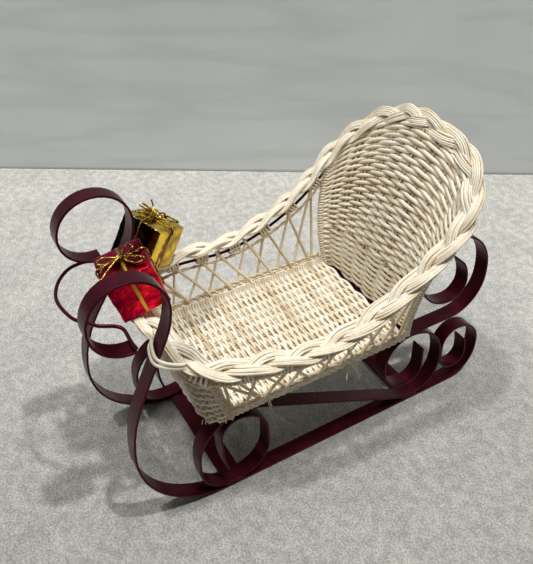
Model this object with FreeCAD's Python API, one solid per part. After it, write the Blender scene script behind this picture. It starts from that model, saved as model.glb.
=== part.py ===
import FreeCAD, Part
import math
import os
from FreeCAD import Vector

# Ornamental wicker sleigh basket on a bent strap frame.
# Millimetres. The front of the sleigh points to -Y, its left side to +X, up is +Z.
# The runners stand on Z = 0, and the origin is under the middle of the whole object.

# Strap stock
STRAP_WIDTH = 12.0
STRAP_THICK = 1.6
BEND_SAG = 0.12
JOINT_GAP = 0.35
CROSS_WIDTH = 16.0
REAR_SEAT_WIDTH = 20.0

# Frame
FRAME_WIDTH = 112.5
LEAN = 3.2
SOLE_FRONT = -78.75
SOLE_REAR = 130.5

# Runner nose, rising strap and front scroll
NOSE_RADIUS = 66.0
RISE_RADIUS = 110.0
RISE_ANGLE = 26.5
RISE_ANGLE_RIGHT = 31.5
RISE_RUN = 46.0
NECK_RADIUS = 49.0
SCROLL_RADIUS = 24.75
SCROLL_END_RADIUS = 23.5
SCROLL_END_TURN = 97.0

# Ground cross straps: the rear edge of the front one and the front edge of the rear one
FRONT_CROSS_AT = -76.0
REAR_CROSS_AT = 89.0

# Scroll braces, measured on the middle line of the strap
BRACE_TOP = 71.0
BRACE_SLOPE = 25.4
BRACE_EASE = 30.0
BRACE_FOOT_FLAT = 2.0
BRACE_TOP_FLAT = 2.0
BRACE_FRONT_RADIUS = 33.75
BRACE_LOW_RADIUS = 22.0
BRACE_FRONT_FOOT = -73.5
BRACE_REAR_FOOT = 90.0
BRACE_SHIFT_RIGHT = -8.0

# Side rails and their rear scrolls
RAIL_FRONT = -92.0
RAIL_BEND = 123.0

# Curls as lists of radius and turn in degrees; a turn of 0 is a straight run of that length
TAIL_CURL = [(27.0, 90), (5.0, 0), (24.0, 90), (15.0, 90), (10.5, 0), (16.5, 90), (10.5, 90), (55.0, 15)]
BRACE_FRONT_CURL = [(24.5, 90), (13.0, 0), (23.5, 90), (13.5, 90), (9.5, 0), (85.0, 17)]
BRACE_REAR_RADIUS = 26.7
BRACE_REAR_RUN = 6.0
BRACE_REAR_CURL = [(23.5, 90), (2.7, 0), (25.0, 90), (13.0, 90), (17.6, 0)]
RAIL_SCROLL = [(30.5, 90), (5.2, 0), (39.5, 90), (26.5, 90), (31.4, 90), (14.5, 90), (30.0, 36)]

# Basket
BASKET_HALF = 53.9
FLOOR_FRONT = -91.7
FLOOR_REAR = 68.0
FLOOR_THICK = 3.0
FRONT_CLEAR = 7.4
BACK_CLEAR = 10.55
WALL_THICK = 3.0
BAND_GAP = 0.6
SEAT_GAP = 0.3
PLAIT_ROOM = 1.6
FLOOR_STAKE_STEP = 10.0
FLOOR_STAKE_REACH = 5
FLOOR_CREST = 2.0
BACK_STAKES = 17
WEAVE_DIP = 0.7
FRONT_SEAT_AT = -82.0
REAR_SEAT_AT = 75.0
BAND_TOP = 84.0
BACK_BELLY = 17.5

# Plaited rim: width and depth of the plait, half width and half thickness of a strand
RIM_WIDTH = 15.4
RIM_DEPTH = 12.0
STRAND_WIDE = 2.2
STRAND_THIN = 2.5
PLAIT_TURNS = 9
STRAND_STATIONS = 10

# Rim hoop and reeds
HOOP_RADIUS = 1.2
HOOP_DOWN = 9.2
HOOP_OUT = 3.2
REED_RADIUS = 1.1
TWINE_RADIUS = 1.3
TWINE_DOWN = 13.6
TWINE_REAR = 66.0

# Front loop rod
ROD_RADIUS = 1.2

# Parcels: edge, middle, and their turns about Z, Y and X in degrees
PARCEL_RED_SIZE = 32.0
PARCEL_RED_AT = (-3.0, -113.0, 167.2)
PARCEL_RED_TURN = (-7.4, 0.0, 16.6)
PARCEL_GOLD_SIZE = 32.0
PARCEL_GOLD_AT = (-59.2, -80.4, 152.8)
PARCEL_GOLD_TURN = (27.8, 12.6, -25.5)

# Shift that puts the origin under the middle of the whole object
CENTRE_Y = 0.4

# Heights worked out from the stock
GROUND_STRAP_Z = STRAP_THICK + JOINT_GAP
FOOT_Z = GROUND_STRAP_Z + 1.5 * STRAP_THICK
RAIL_Z = BRACE_TOP + STRAP_THICK
SEAT_Z = RAIL_Z + 0.5 * STRAP_THICK
BASKET_Z = SEAT_Z + STRAP_THICK
FLOOR_TOP = BASKET_Z + FLOOR_THICK

# Half width between the middle surfaces of the side walls at their foot, and the front wall's foot
WALL_HALF = BASKET_HALF + WALL_THICK / 2 + BAND_GAP
WALL_FRONT = FLOOR_FRONT - WALL_THICK / 2 - SEAT_GAP

# Middle line of the plaited rim, from the front centre up the left side to the top of the back
RIM_POINTS = [
    (0.0, -113.5, 143.5),
    (18.0, -112.5, 145.5),
    (34.5, -107.6, 143.5),
    (52.5, -96.5, 130.0),
    (65.8, -60.0, 125.0),
    (69.5, -16.6, 120.3),
    (70.7, 28.0, 131.5),
    (71.3, 65.0, 154.5),
    (69.5, 94.5, 182.0),
    (48.0, 116.0, 206.0),
    (22.0, 120.0, 217.8),
    (0.0, 117.0, 222.8),
]

# Foot line of the walls, as places along the rim from the front centre to the top of the back
FOOT_PLACES = [
    (0.0, (0.0, WALL_FRONT, BASKET_Z)),
    (0.050, (WALL_HALF - 13.0, WALL_FRONT, BASKET_Z)),
    (0.070, (WALL_HALF - 4.5, WALL_FRONT + 2.0, BASKET_Z)),
    (0.090, (WALL_HALF - 0.5, WALL_FRONT + 7.5, BASKET_Z + 0.5)),
    (0.110, (WALL_HALF, WALL_FRONT + 16.5, BASKET_Z + 1.0)),
    (0.150, (WALL_HALF, WALL_FRONT + 33.5, BASKET_Z + 1.0)),
    (0.345, (WALL_HALF, FLOOR_REAR + 2.0, BASKET_Z + 1.0)),
    (0.375, (WALL_HALF - 6.0, FLOOR_REAR + 11.0, BASKET_Z + SEAT_GAP)),
    (0.440, (WALL_HALF - 31.0, FLOOR_REAR + 11.0, BASKET_Z + SEAT_GAP)),
    (0.500, (0.0, FLOOR_REAR + 11.0, BASKET_Z + SEAT_GAP)),
]
SIDE_FOOT = (WALL_HALF, BASKET_Z + 1.0)
FRONT_SHARE = 0.125
BACK_SHARE = 0.14
BAND_SHARE = 0.35

# Side wall reeds, each as its upper and lower end in Y and Z
LATTICE_STEEP = [
    ((-61, 118), (-67, 87)),
    ((-41, 105), (-52, 87)),
    ((-25, 107), (-35, 87)),
    ((0, 108), (-12, 81)),
    ((19, 114), (8, 83)),
    ((41, 120), (27, 84)),
    ((57, 119), (45, 85)),
    ((64, 115), (62, 83)),
]
LATTICE_SLANT = [
    ((-71, 107), (-56, 86)),
    ((-56, 110), (-38, 87)),
    ((-34, 107), (-18, 85)),
    ((-15, 104), (1, 84)),
    ((6, 110), (21, 84)),
    ((24, 117), (41, 83)),
    ((45, 122), (58, 83)),
]

# Middle line of the front rod as X and its distance in Y and Z from an even walk
# from the right scroll's end to the left scroll's end
ROD_ROUTE = [
    (-35.0, -2.08, -2.52),
    (-38.5, -3.98, -1.92),
    (-41.3, -7.38, -1.58),
    (-43.6, -12.77, -2.38),
    (-44.0, -18.07, -3.18),
    (-40.6, -23.27, -3.48),
    (-34.9, -27.57, -3.18),
    (-27.2, -30.86, -2.58),
    (-16.5, -32.76, -1.98),
    (-8.2, -31.66, -1.38),
    (0.5, -29.36, -0.78),
    (7.3, -25.76, -0.18),
    (12.6, -20.25, 0.42),
    (18.0, -15.65, 1.02),
    (22.4, -7.65, 1.61),
    (26.5, -2.35, 1.41),
    (33.0, -1.25, 1.66),
    (46.3, -0.64, 2.26),
]


def run(length):
    return ("run", length, 0.0)


def bend(radius, turn):
    return ("bend", radius, turn)


def curl(sizes):
    return [bend(size, turn) if turn else run(size) for size, turn in sizes]


def strap_profile(start, heading, pieces, thick):
    """Closed outline (y, z) of a strap seen from its edge; its bends are drawn as short flats."""
    y, z = start
    angle = math.radians(heading)
    line = [(y, z, angle)]
    for kind, size, turn in pieces:
        if kind == "run":
            y += size * math.cos(angle)
            z += size * math.sin(angle)
            line.append((y, z, angle))
        else:
            hand = 1.0 if turn > 0 else -1.0
            step = 2 * math.acos(1 - BEND_SAG / size)
            count = max(2, int(math.ceil(math.radians(abs(turn)) / step)))
            cy = y - hand * size * math.sin(angle)
            cz = z + hand * size * math.cos(angle)
            first = angle
            for i in range(1, count + 1):
                angle = first + math.radians(turn) * i / count
                y = cy + hand * size * math.sin(angle)
                z = cz - hand * size * math.cos(angle)
                line.append((y, z, angle))
    outline = []
    for side in (1.0, -1.0):
        edge = []
        for y, z, direction in line:
            shift = side * thick / 2
            edge.append((y - shift * math.sin(direction), z + shift * math.cos(direction)))
        outline.append(edge)
    points = outline[0] + list(reversed(outline[1]))
    kept = []
    for p in points:
        if not kept or math.hypot(p[0] - kept[-1][0], p[1] - kept[-1][1]) > 0.001:
            kept.append(p)
    return kept


def walk(start, heading, pieces):
    """End point and heading of a path of runs and bends."""
    y, z = start
    angle = math.radians(heading)
    for kind, size, turn in pieces:
        if kind == "run":
            y += size * math.cos(angle)
            z += size * math.sin(angle)
        else:
            hand = 1.0 if turn > 0 else -1.0
            after = angle + math.radians(turn)
            y += hand * size * (math.sin(after) - math.sin(angle))
            z -= hand * size * (math.cos(after) - math.cos(angle))
            angle = after
    return (y, z), math.degrees(angle)


def two_way_profile(start, forward, rearward):
    """One strap through start: its forward pieces head for -Y and its rearward pieces for +Y."""
    tip, heading = walk(start, 0, rearward)
    back = [(kind, size, -turn) for kind, size, turn in reversed(rearward)]
    return strap_profile(tip, heading + 180, back + forward, STRAP_THICK)


def leaning_strap(outline, side):
    """Strap of one side frame: it leans inwards with height while its width stays level."""
    lean = math.tan(math.radians(LEAN))
    points = [Vector(FRAME_WIDTH / 2 - z * lean, y, z) for y, z in outline]
    shape = Part.Face(Part.makePolygon(points + [points[0]])).extrude(Vector(-STRAP_WIDTH, 0, 0))
    if side < 0:
        shape = shape.mirror(Vector(0, 0, 0), Vector(1, 0, 0))
    return shape


def nose_path(side):
    rise = RISE_ANGLE if side > 0 else RISE_ANGLE_RIGHT
    return [
        run(-SOLE_FRONT),
        bend(NOSE_RADIUS, -90),
        bend(RISE_RADIUS, -rise),
        run(RISE_RUN),
        bend(NECK_RADIUS, rise),
        bend(SCROLL_RADIUS, 180),
        bend(SCROLL_END_RADIUS, SCROLL_END_TURN),
    ]


def runner(side):
    tail = [run(SOLE_REAR)] + curl(TAIL_CURL)
    return leaning_strap(two_way_profile((0.0, STRAP_THICK / 2), nose_path(side), tail), side)


def rod_points():
    """Middle line of the front rod: it goes along when the ends of the two front scrolls move."""
    start = (0.0, STRAP_THICK / 2)
    right, _ = walk(start, 180, nose_path(-1))
    left, _ = walk(start, 180, nose_path(1))
    points = []
    for i, (x, dy, dz) in enumerate(ROD_ROUTE):
        part = i / (len(ROD_ROUTE) - 1)
        y = right[0] + (left[0] - right[0]) * part
        z = right[1] + (left[1] - right[1]) * part
        points.append((x, y + dy, z + dz))
    return points


def scroll_brace(side):
    rise = BRACE_TOP - FOOT_Z
    slope = math.radians(BRACE_SLOPE)
    ease_y = BRACE_EASE * math.sin(slope)
    ease_z = BRACE_EASE * (1 - math.cos(slope))
    slant = (rise - 2 * ease_z) / math.sin(slope)
    top_y = BRACE_REAR_FOOT - BRACE_FOOT_FLAT - 2 * ease_y - slant * math.cos(slope)
    foot_run = BRACE_FRONT_FOOT - (top_y - BRACE_TOP_FLAT - BRACE_FRONT_RADIUS + BRACE_LOW_RADIUS)
    drop = rise - BRACE_FRONT_RADIUS - BRACE_LOW_RADIUS
    forward = [
        run(BRACE_FOOT_FLAT),
        bend(BRACE_EASE, -BRACE_SLOPE),
        run(slant),
        bend(BRACE_EASE, BRACE_SLOPE),
        run(BRACE_TOP_FLAT),
        bend(BRACE_FRONT_RADIUS, 90),
        run(drop),
        bend(BRACE_LOW_RADIUS, 90),
        run(max(foot_run, 0.0) + BRACE_FOOT_FLAT),
    ] + curl(BRACE_FRONT_CURL)
    rearward = [
        bend(BRACE_REAR_RADIUS, 90),
        run(BRACE_REAR_RUN),
        bend(rise - BRACE_REAR_RADIUS - BRACE_REAR_RUN, 90),
    ] + curl(BRACE_REAR_CURL)
    shape = leaning_strap(two_way_profile((BRACE_REAR_FOOT, FOOT_Z), forward, rearward), side)
    if side < 0:
        shape.translate(Vector(0, BRACE_SHIFT_RIGHT, 0))
    return shape


def side_rail(side):
    scroll = [run(RAIL_BEND - RAIL_FRONT)] + curl(RAIL_SCROLL)
    return leaning_strap(strap_profile((RAIL_FRONT, RAIL_Z), 0, scroll, STRAP_THICK), side)


def frame_half_width(z):
    """Outer half width of the leaning side frames at height z."""
    return FRAME_WIDTH / 2 - z * math.tan(math.radians(LEAN))


def cross_strap(middle_y, width, bottom_z, half_length):
    plate = Part.makeBox(2 * half_length, width, STRAP_THICK)
    plate.translate(Vector(-half_length, middle_y - width / 2, bottom_z))
    return plate


def polygon(points):
    return Part.makePolygon(points + [points[0]])


def faceted(sections, closed):
    """Solid with flat triangular facets through sections that have the same number of points."""
    faces = []
    count = len(sections)
    around = len(sections[0])
    for i in range(count if closed else count - 1):
        low = sections[i]
        high = sections[(i + 1) % count]
        for j in range(around):
            k = (j + 1) % around
            faces.append(Part.Face(polygon([low[j], low[k], high[k]])))
            faces.append(Part.Face(polygon([low[j], high[k], high[j]])))
    if not closed:
        for end in (sections[0], sections[-1]):
            middle = Vector(0, 0, 0)
            for p in end:
                middle = middle + p
            middle = middle / len(end)
            for j in range(around):
                faces.append(Part.Face(polygon([end[j], end[(j + 1) % around], middle])))
    solid = Part.makeSolid(Part.makeShell(faces))
    if solid.Volume < 0:
        solid.reverse()
    return solid


def tube(points, radius, sides, closed=False):
    """Faceted round bar along a chain of points."""
    sections = []
    count = len(points)
    side_axis = None
    for i, p in enumerate(points):
        if closed:
            along = points[(i + 1) % count] - points[i - 1]
        else:
            along = points[min(i + 1, count - 1)] - points[max(i - 1, 0)]
        along.normalize()
        if side_axis is None:
            side_axis = along.cross(Vector(0, 0, 1))
            if side_axis.Length < 0.2:
                side_axis = along.cross(Vector(0, 1, 0))
        side_axis = side_axis - along * side_axis.dot(along)
        side_axis.normalize()
        other = along.cross(side_axis)
        ring = []
        for j in range(sides):
            t = 2 * math.pi * j / sides
            ring.append(p + side_axis * (radius * math.cos(t)) + other * (radius * math.sin(t)))
        sections.append(ring)
    return faceted(sections, closed)


def smooth_chain(points, step, closed=False):
    """Points about step apart on a smooth curve through the given ones."""
    curve = Part.BSplineCurve()
    curve.interpolate(Points=[Vector(*p) for p in points], PeriodicFlag=closed)
    count = max(4, int(round(curve.length() / step)))
    if closed:
        return curve.discretize(Number=count + 1)[:-1]
    return curve.discretize(Number=count + 1)


def mirrored(points):
    return [Vector(-p.x, p.y, p.z) for p in points]


def rim_curve():
    left = [Vector(*p) for p in RIM_POINTS]
    curve = Part.BSplineCurve()
    curve.interpolate(Points=left + mirrored(list(reversed(left[1:-1]))), PeriodicFlag=True)
    return curve


RIM = rim_curve()
RIM_LENGTH = RIM.length()


def foot_point(share):
    """Point of the basket's foot line below a place on the rim."""
    share = share % 1.0
    side = 1.0
    if share > 0.5:
        share = 1.0 - share
        side = -1.0
    for i in range(len(FOOT_PLACES) - 1):
        low, a = FOOT_PLACES[i]
        high, b = FOOT_PLACES[i + 1]
        if share <= high or i == len(FOOT_PLACES) - 2:
            part = (share - low) / (high - low)
            part = min(1.0, max(0.0, part))
            point = Vector(*a) * (1 - part) + Vector(*b) * part
            return Vector(side * point.x, point.y, point.z)


def rim_frame(share):
    """Rim point with its directions along the rim, down the wall and outwards."""
    u = RIM.parameterAtDistance(RIM_LENGTH * (share % 1.0), RIM.FirstParameter)
    point = RIM.value(u)
    along = RIM.tangent(u)[0]
    down = wall_point(share, 0.93, point) - point
    down = down - along * down.dot(along)
    down.normalize()
    out = along.cross(down) * -1.0
    return point, along, down, out


def wall_point(share, height, top=None):
    """Point of the basket wall: height 0 is at its foot line and 1 on the rim's middle line."""
    if top is None:
        u = RIM.parameterAtDistance(RIM_LENGTH * (share % 1.0), RIM.FirstParameter)
        top = RIM.value(u)
    foot = foot_point(share)
    away = abs((share % 1.0) - 0.5)
    recline = 1.0 if away < BACK_SHARE else max(0.0, 1.0 - (away - BACK_SHARE) / 0.05)
    middle = (foot + top) * 0.5 + Vector(0, -BACK_BELLY * recline, 0)
    a = (1 - height) * (1 - height)
    b = 2 * height * (1 - height)
    c = height * height
    return foot * a + middle * b + top * c


def wall_panel(first, last, low, columns, rows, half, clear, top_z=None, dip=0.0):
    """Curved panel of the basket wall between two places on the rim, up to the plait or top_z.

    The reeds bulge over each stake and sink by the dip halfway to the next one.
    """
    sections = []
    for i in range(columns + 1):
        share = first + (last - first) * i / columns
        top = wall_point(share, 1.0)
        foot = foot_point(share)
        rise = top - foot
        high = 1.0 - clear / rise.cross(rim_frame(share)[1]).Length
        if top_z is not None:
            high = (top_z - foot.z) / (top.z - foot.z)
        outer = []
        inner = []
        thick = half - dip if i % 2 else half
        for j in range(rows + 1):
            height = low + (high - low) * j / rows
            here = wall_point(share, height)
            across = wall_point(share + 0.002, height) - wall_point(share - 0.002, height)
            upward = wall_point(share, height + 0.01) - wall_point(share, height - 0.01)
            normal = across.cross(upward)
            normal.normalize()
            outer.append(here + normal * thick)
            inner.append(here - normal * thick)
        sections.append(outer + list(reversed(inner)))
    return panel_solid(sections)


def panel_solid(sections):
    """Faceted panel: like a bar through the sections, with its two end faces cut in strips."""
    faces = []
    around = len(sections[0])
    for i in range(len(sections) - 1):
        low = sections[i]
        high = sections[i + 1]
        for j in range(around):
            k = (j + 1) % around
            faces.append(Part.Face(polygon([low[j], low[k], high[k]])))
            faces.append(Part.Face(polygon([low[j], high[k], high[j]])))
    for end in (sections[0], sections[-1]):
        half = around // 2
        for j in range(half - 1):
            a, b = end[j], end[j + 1]
            c, d = end[around - 2 - j], end[around - 1 - j]
            faces.append(Part.Face(polygon([a, b, c])))
            faces.append(Part.Face(polygon([a, c, d])))
    solid = Part.makeSolid(Part.makeShell(faces))
    if solid.Volume < 0:
        solid.reverse()
    return solid


def rim_ring(down_by, out_by, radius, sides, stations):
    """Closed round bar that follows the rim, moved down the wall and outwards."""
    sections = []
    for i in range(stations):
        point, along, down, out = rim_frame(i / stations)
        middle = point + down * down_by + out * out_by
        ring = []
        for j in range(sides):
            t = 2 * math.pi * j / sides
            ring.append(middle + out * (radius * math.cos(t)) + down * (radius * math.sin(t)))
        sections.append(ring)
    return faceted(sections, True)


def plait_frame(share):
    """Rim point with the directions across the plait's broad face and out of that face."""
    u = RIM.parameterAtDistance(RIM_LENGTH * (share % 1.0), RIM.FirstParameter)
    point = RIM.value(u)
    along = RIM.tangent(u)[0]
    tilt = math.sin(math.pi * (share % 1.0)) ** 4
    side = math.sin(2 * math.pi * (share % 1.0))
    face = Vector(0.25 * side, -1.3 * tilt, 1.0)
    face = face - along * face.dot(along)
    face.normalize()
    return point, along.cross(face), face


def plait_cover(extra):
    """Closed bar that holds the whole plait with some room around it."""
    sections = []
    for i in range(54):
        point, across, face = plait_frame(i / 54)
        ring = []
        for j in range(12):
            t = 2 * math.pi * (j + 0.5) / 12
            wide = (RIM_WIDTH / 2 + extra) / math.cos(math.pi / 12)
            deep = (RIM_DEPTH / 2 + extra) / math.cos(math.pi / 12)
            ring.append(point + across * (wide * math.cos(t)) + face * (deep * math.sin(t)))
        sections.append(ring)
    return faceted(sections, True)


def plait_strand(index):
    """One of the three strands that cross over and under each other around the rim."""
    stations = PLAIT_TURNS * STRAND_STATIONS
    swing = RIM_WIDTH / 2 - STRAND_WIDE
    weave = RIM_DEPTH / 2 - STRAND_THIN
    centres = []
    frames = []
    for i in range(stations):
        share = i / stations
        point, across, face = plait_frame(share)
        t = 2 * math.pi * (share * PLAIT_TURNS + index / 3.0)
        centres.append(point + across * (swing * math.sin(t)) + face * (weave * math.sin(2 * t)))
        frames.append(face)
    sections = []
    for i in range(stations):
        ahead = centres[(i + 1) % stations] - centres[i - 1]
        ahead.normalize()
        thin = frames[i] - ahead * frames[i].dot(ahead)
        thin.normalize()
        wide = ahead.cross(thin)
        ring = []
        for j in range(6):
            t = 2 * math.pi * j / 6
            ring.append(
                centres[i] + wide * (STRAND_WIDE * math.cos(t)) + thin * (STRAND_THIN * math.sin(t))
            )
        sections.append(ring)
    return faceted(sections, True)


def floor_panel():
    """Woven floor: a plate with cut front corners that bulges over each lengthwise stake."""
    corner = [
        (BASKET_HALF, FLOOR_REAR),
        (BASKET_HALF, FLOOR_FRONT + 11.7),
        (BASKET_HALF - 4.9, FLOOR_FRONT + 2.7),
        (BASKET_HALF - 12.9, FLOOR_FRONT),
    ]
    outline = corner + [(-x, y) for x, y in reversed(corner)]
    points = [Vector(x, y, BASKET_Z) for x, y in outline]
    plate = Part.Face(polygon(points)).extrude(Vector(0, 0, FLOOR_THICK))
    places = [(-BASKET_HALF, WEAVE_DIP)]
    for stake in range(-FLOOR_STAKE_REACH, FLOOR_STAKE_REACH + 1):
        middle = stake * FLOOR_STAKE_STEP
        places.append((middle - FLOOR_CREST / 2, 0.0))
        places.append((middle + FLOOR_CREST / 2, 0.0))
        if stake < FLOOR_STAKE_REACH:
            places.append((middle + FLOOR_STAKE_STEP / 2, WEAVE_DIP))
    places.append((BASKET_HALF, WEAVE_DIP))
    over = [Vector(x, FLOOR_FRONT, FLOOR_TOP - dip) for x, dip in places]
    under = [Vector(x, FLOOR_FRONT, BASKET_Z + dip) for x, dip in reversed(places)]
    weave = Part.Face(polygon(over + under)).extrude(Vector(0, FLOOR_REAR - FLOOR_FRONT, 0))
    return plate.common(weave)


def rod_between(a, b, radius, sides=5):
    axis = b - a
    circle = []
    for i in range(sides):
        t = 2 * math.pi * i / sides
        circle.append(Vector(radius * math.cos(t), radius * math.sin(t), 0))
    rod = Part.Face(polygon(circle)).extrude(Vector(0, 0, axis.Length))
    rod.Placement = FreeCAD.Placement(a, FreeCAD.Rotation(Vector(0, 0, 1), axis))
    return rod


def box_plate(x0, x1, y0, y1, z0, z1):
    plate = Part.makeBox(x1 - x0, y1 - y0, z1 - z0)
    plate.translate(Vector(x0, y0, z0))
    return plate


def rim_passing(y):
    """Place on the rim's middle line where it passes y on its way along the left side."""
    low = 0.10
    high = 0.40
    for _ in range(30):
        middle = (low + high) / 2
        if RIM.value(RIM.parameterAtDistance(RIM_LENGTH * middle, RIM.FirstParameter)).y < y:
            low = middle
        else:
            high = middle
    return RIM.value(RIM.parameterAtDistance(RIM_LENGTH * low, RIM.FirstParameter))


def side_point(y, z, side):
    """Point on the middle surface of a side wall."""
    top = rim_passing(y)
    part = (z - SIDE_FOOT[1]) / (top.z - SIDE_FOOT[1])
    return Vector(side * (SIDE_FOOT[0] + (top.x - SIDE_FOOT[0]) * part), y, z)


def side_lattice(side, blockers):
    """Two sets of reeds that cross each other between the low band and the rim."""
    reeds = []
    for (y0, z0), (y1, z1) in LATTICE_STEEP + LATTICE_SLANT:
        slope = (y1 - y0) / (z1 - z0)
        low = BAND_TOP - 2.0
        a = side_point(y1 + slope * (low - z1), low, side)
        high = rim_passing(y0).z - 3.0
        b = side_point(y1 + slope * (high - z1), high, side)
        reeds.append(rod_between(a, b, REED_RADIUS))
    low = BAND_TOP + JOINT_GAP + TWINE_RADIUS
    front = LATTICE_STEEP[0][1][0] - 2.0
    points = []
    for i in range(10):
        points.append(side_point(front + (TWINE_REAR - front) * i / 9, low, side))
    reeds.append(tube(points, TWINE_RADIUS, 5))
    points = []
    for i in range(13):
        share = FRONT_SHARE + 0.012 + (BAND_SHARE - FRONT_SHARE - 0.045) * i / 12
        point, along, down, out = rim_frame(side * share)
        points.append(point + down * TWINE_DOWN)
    reeds.append(tube(points, TWINE_RADIUS, 5))
    shape = reeds[0].fuse(reeds[1:])
    floor_z = BASKET_Z - 15.0
    below = box_plate(-FRAME_WIDTH, FRAME_WIDTH, 2 * SOLE_FRONT, 2 * SOLE_REAR, floor_z, BAND_TOP + JOINT_GAP)
    return shape.cut(blockers + [below])


def parcel(size, centre, tilt, blocker):
    box = Part.makeBox(size, size, size)
    box.translate(Vector(-size / 2, -size / 2, -size / 2))
    turn = FreeCAD.Rotation(*tilt)
    box.Placement = FreeCAD.Placement(Vector(*centre), turn).multiply(box.Placement)
    return box.cut(blocker)


def write(name, shape):
    shape.translate(Vector(0, CENTRE_Y, 0))
    shape.exportStep("parts/" + name + ".step")
    print(name, len(shape.Solids), len(shape.Faces), round(shape.Volume, 1), shape.isValid())


def main():
    os.makedirs("parts", exist_ok=True)
    for name, side in (("left", 1), ("right", -1)):
        write("runner_" + name, runner(side))
        write("scroll_brace_" + name, scroll_brace(side))
        write("side_rail_" + name, side_rail(side))
    for name, middle in (("front", FRONT_CROSS_AT), ("rear", REAR_CROSS_AT)):
        strap = cross_strap(middle, CROSS_WIDTH, GROUND_STRAP_Z, frame_half_width(FOOT_Z))
        write("ground_strap_" + name, strap)
    reach = frame_half_width(BASKET_Z)
    write("seat_strap_front", cross_strap(FRONT_SEAT_AT, CROSS_WIDTH, SEAT_Z, reach))
    write("seat_strap_rear", cross_strap(REAR_SEAT_AT, REAR_SEAT_WIDTH, SEAT_Z, reach))
    write("front_loop_rod", tube(smooth_chain(rod_points(), 5.0), ROD_RADIUS, 6))
    write("rim_hoop", rim_ring(HOOP_DOWN, HOOP_OUT, HOOP_RADIUS, 6, 64))
    for index, name in enumerate(("a", "b", "c")):
        write("rim_strand_" + name, plait_strand(index))
    write("floor_panel", floor_panel())
    write("front_wall", wall_panel(-FRONT_SHARE, FRONT_SHARE, 0.0, 24, 4, WALL_THICK / 2, FRONT_CLEAR))
    rear = (0.5 - BACK_SHARE, 0.5 + BACK_SHARE)
    columns = 2 * (BACK_STAKES - 1)
    back = wall_panel(rear[0], rear[1], 0.0, columns, 9, WALL_THICK / 2, BACK_CLEAR, None, WEAVE_DIP)
    write("back_panel", back)
    for name, side in (("left", 1), ("right", -1)):
        ends = sorted((side * (FRONT_SHARE + 0.002) % 1.0, side * BAND_SHARE % 1.0))
        band = wall_panel(ends[0], ends[1], 0.0, 10, 1, WALL_THICK / 2, 0.0, BAND_TOP)
        write("side_band_" + name, band)
    cover = plait_cover(PLAIT_ROOM)
    around = FRONT_SHARE + 0.002
    fat_wall = wall_panel(-around, around, 0.0, 24, 1, WALL_THICK / 2 + SEAT_GAP, 0.0)
    for name, side in (("left", 1), ("right", -1)):
        write("side_lattice_" + name, side_lattice(side, [cover, fat_wall]))
    write("parcel_red", parcel(PARCEL_RED_SIZE, PARCEL_RED_AT, PARCEL_RED_TURN, cover))
    write("parcel_gold", parcel(PARCEL_GOLD_SIZE, PARCEL_GOLD_AT, PARCEL_GOLD_TURN, cover))


main()
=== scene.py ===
# %% [markdown]
# # A wicker sleigh ornament
# This lesson dresses a small table ornament: an open wicker basket on two scrolled runners of
# painted flat strap, with two foil parcels tied at its front. The measured model comes first and
# stays where it is. Every piece below is laid over it in metres, so nothing has to be fitted by eye.

# %% Load the measured model
import math
import random

import bmesh
import bpy
import numpy as np
from mathutils import Matrix, Vector
from mathutils.kdtree import KDTree


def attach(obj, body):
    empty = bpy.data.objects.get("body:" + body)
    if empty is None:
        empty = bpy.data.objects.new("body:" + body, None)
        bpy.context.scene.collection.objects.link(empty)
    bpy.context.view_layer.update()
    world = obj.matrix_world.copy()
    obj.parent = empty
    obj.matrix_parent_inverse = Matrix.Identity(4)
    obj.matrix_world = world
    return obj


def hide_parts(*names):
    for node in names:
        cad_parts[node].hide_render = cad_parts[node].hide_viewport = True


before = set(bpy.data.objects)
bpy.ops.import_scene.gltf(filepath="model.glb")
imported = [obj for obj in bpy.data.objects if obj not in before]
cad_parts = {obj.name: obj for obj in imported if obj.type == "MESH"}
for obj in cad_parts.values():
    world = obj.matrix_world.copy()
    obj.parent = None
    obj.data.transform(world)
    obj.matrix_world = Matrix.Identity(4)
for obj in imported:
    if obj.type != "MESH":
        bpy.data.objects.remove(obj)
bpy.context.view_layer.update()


# %% [markdown]
# ## The camera
# The camera stands where the photograph was taken: to the front left of the sleigh and well above
# it. A constraint could aim it, but a plain rotation is easier to read and to repeat. A camera
# looks along its own -Z, so the arrow that points back to the lens is turned into a rotation. The
# sensor's 36 mm lie along the picture's long side.

# %% Camera
LENS_MM = 43.2
LENS_PLACE = (0.3255, -0.2081, 0.4301)
BACK_TO_LENS = Vector((0.6737, -0.3963, 0.6237))


def add_object(name, data):
    """Links data into the scene as an object at the origin."""
    made = bpy.data.objects.new(name, data)
    bpy.context.scene.collection.objects.link(made)
    return made


camera_data = bpy.data.cameras.new("photo_camera")
camera_data.lens = LENS_MM
camera = add_object("photo_camera", camera_data)
camera.location = LENS_PLACE
camera.rotation_euler = BACK_TO_LENS.to_track_quat("Z", "Y").to_euler()
bpy.context.scene.camera = camera
print("camera at", tuple(round(v, 4) for v in camera.location))

# %% [markdown]
# ## Materials made of nodes
# Stone, paint, reed and foil all change a little in colour from place to place. A picture could
# show that, but it would stretch over bent shapes. So each material is a small tree of nodes in
# front of Blender's Principled shader. The helpers add a node, and turn a pattern into colours.

# %% Material helpers
WHITE, BLACK = (1.0, 1.0, 1.0), (0.0, 0.0, 0.0)


def new_material(name, **values):
    """A material with a Principled shader; values go to the shader's own sockets."""
    material = bpy.data.materials.new(name)
    material.use_nodes = True
    shader = material.node_tree.nodes["Principled BSDF"]
    for socket, value in values.items():
        shader.inputs[socket.replace("_", " ")].default_value = value
    return material, material.node_tree, shader


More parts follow.
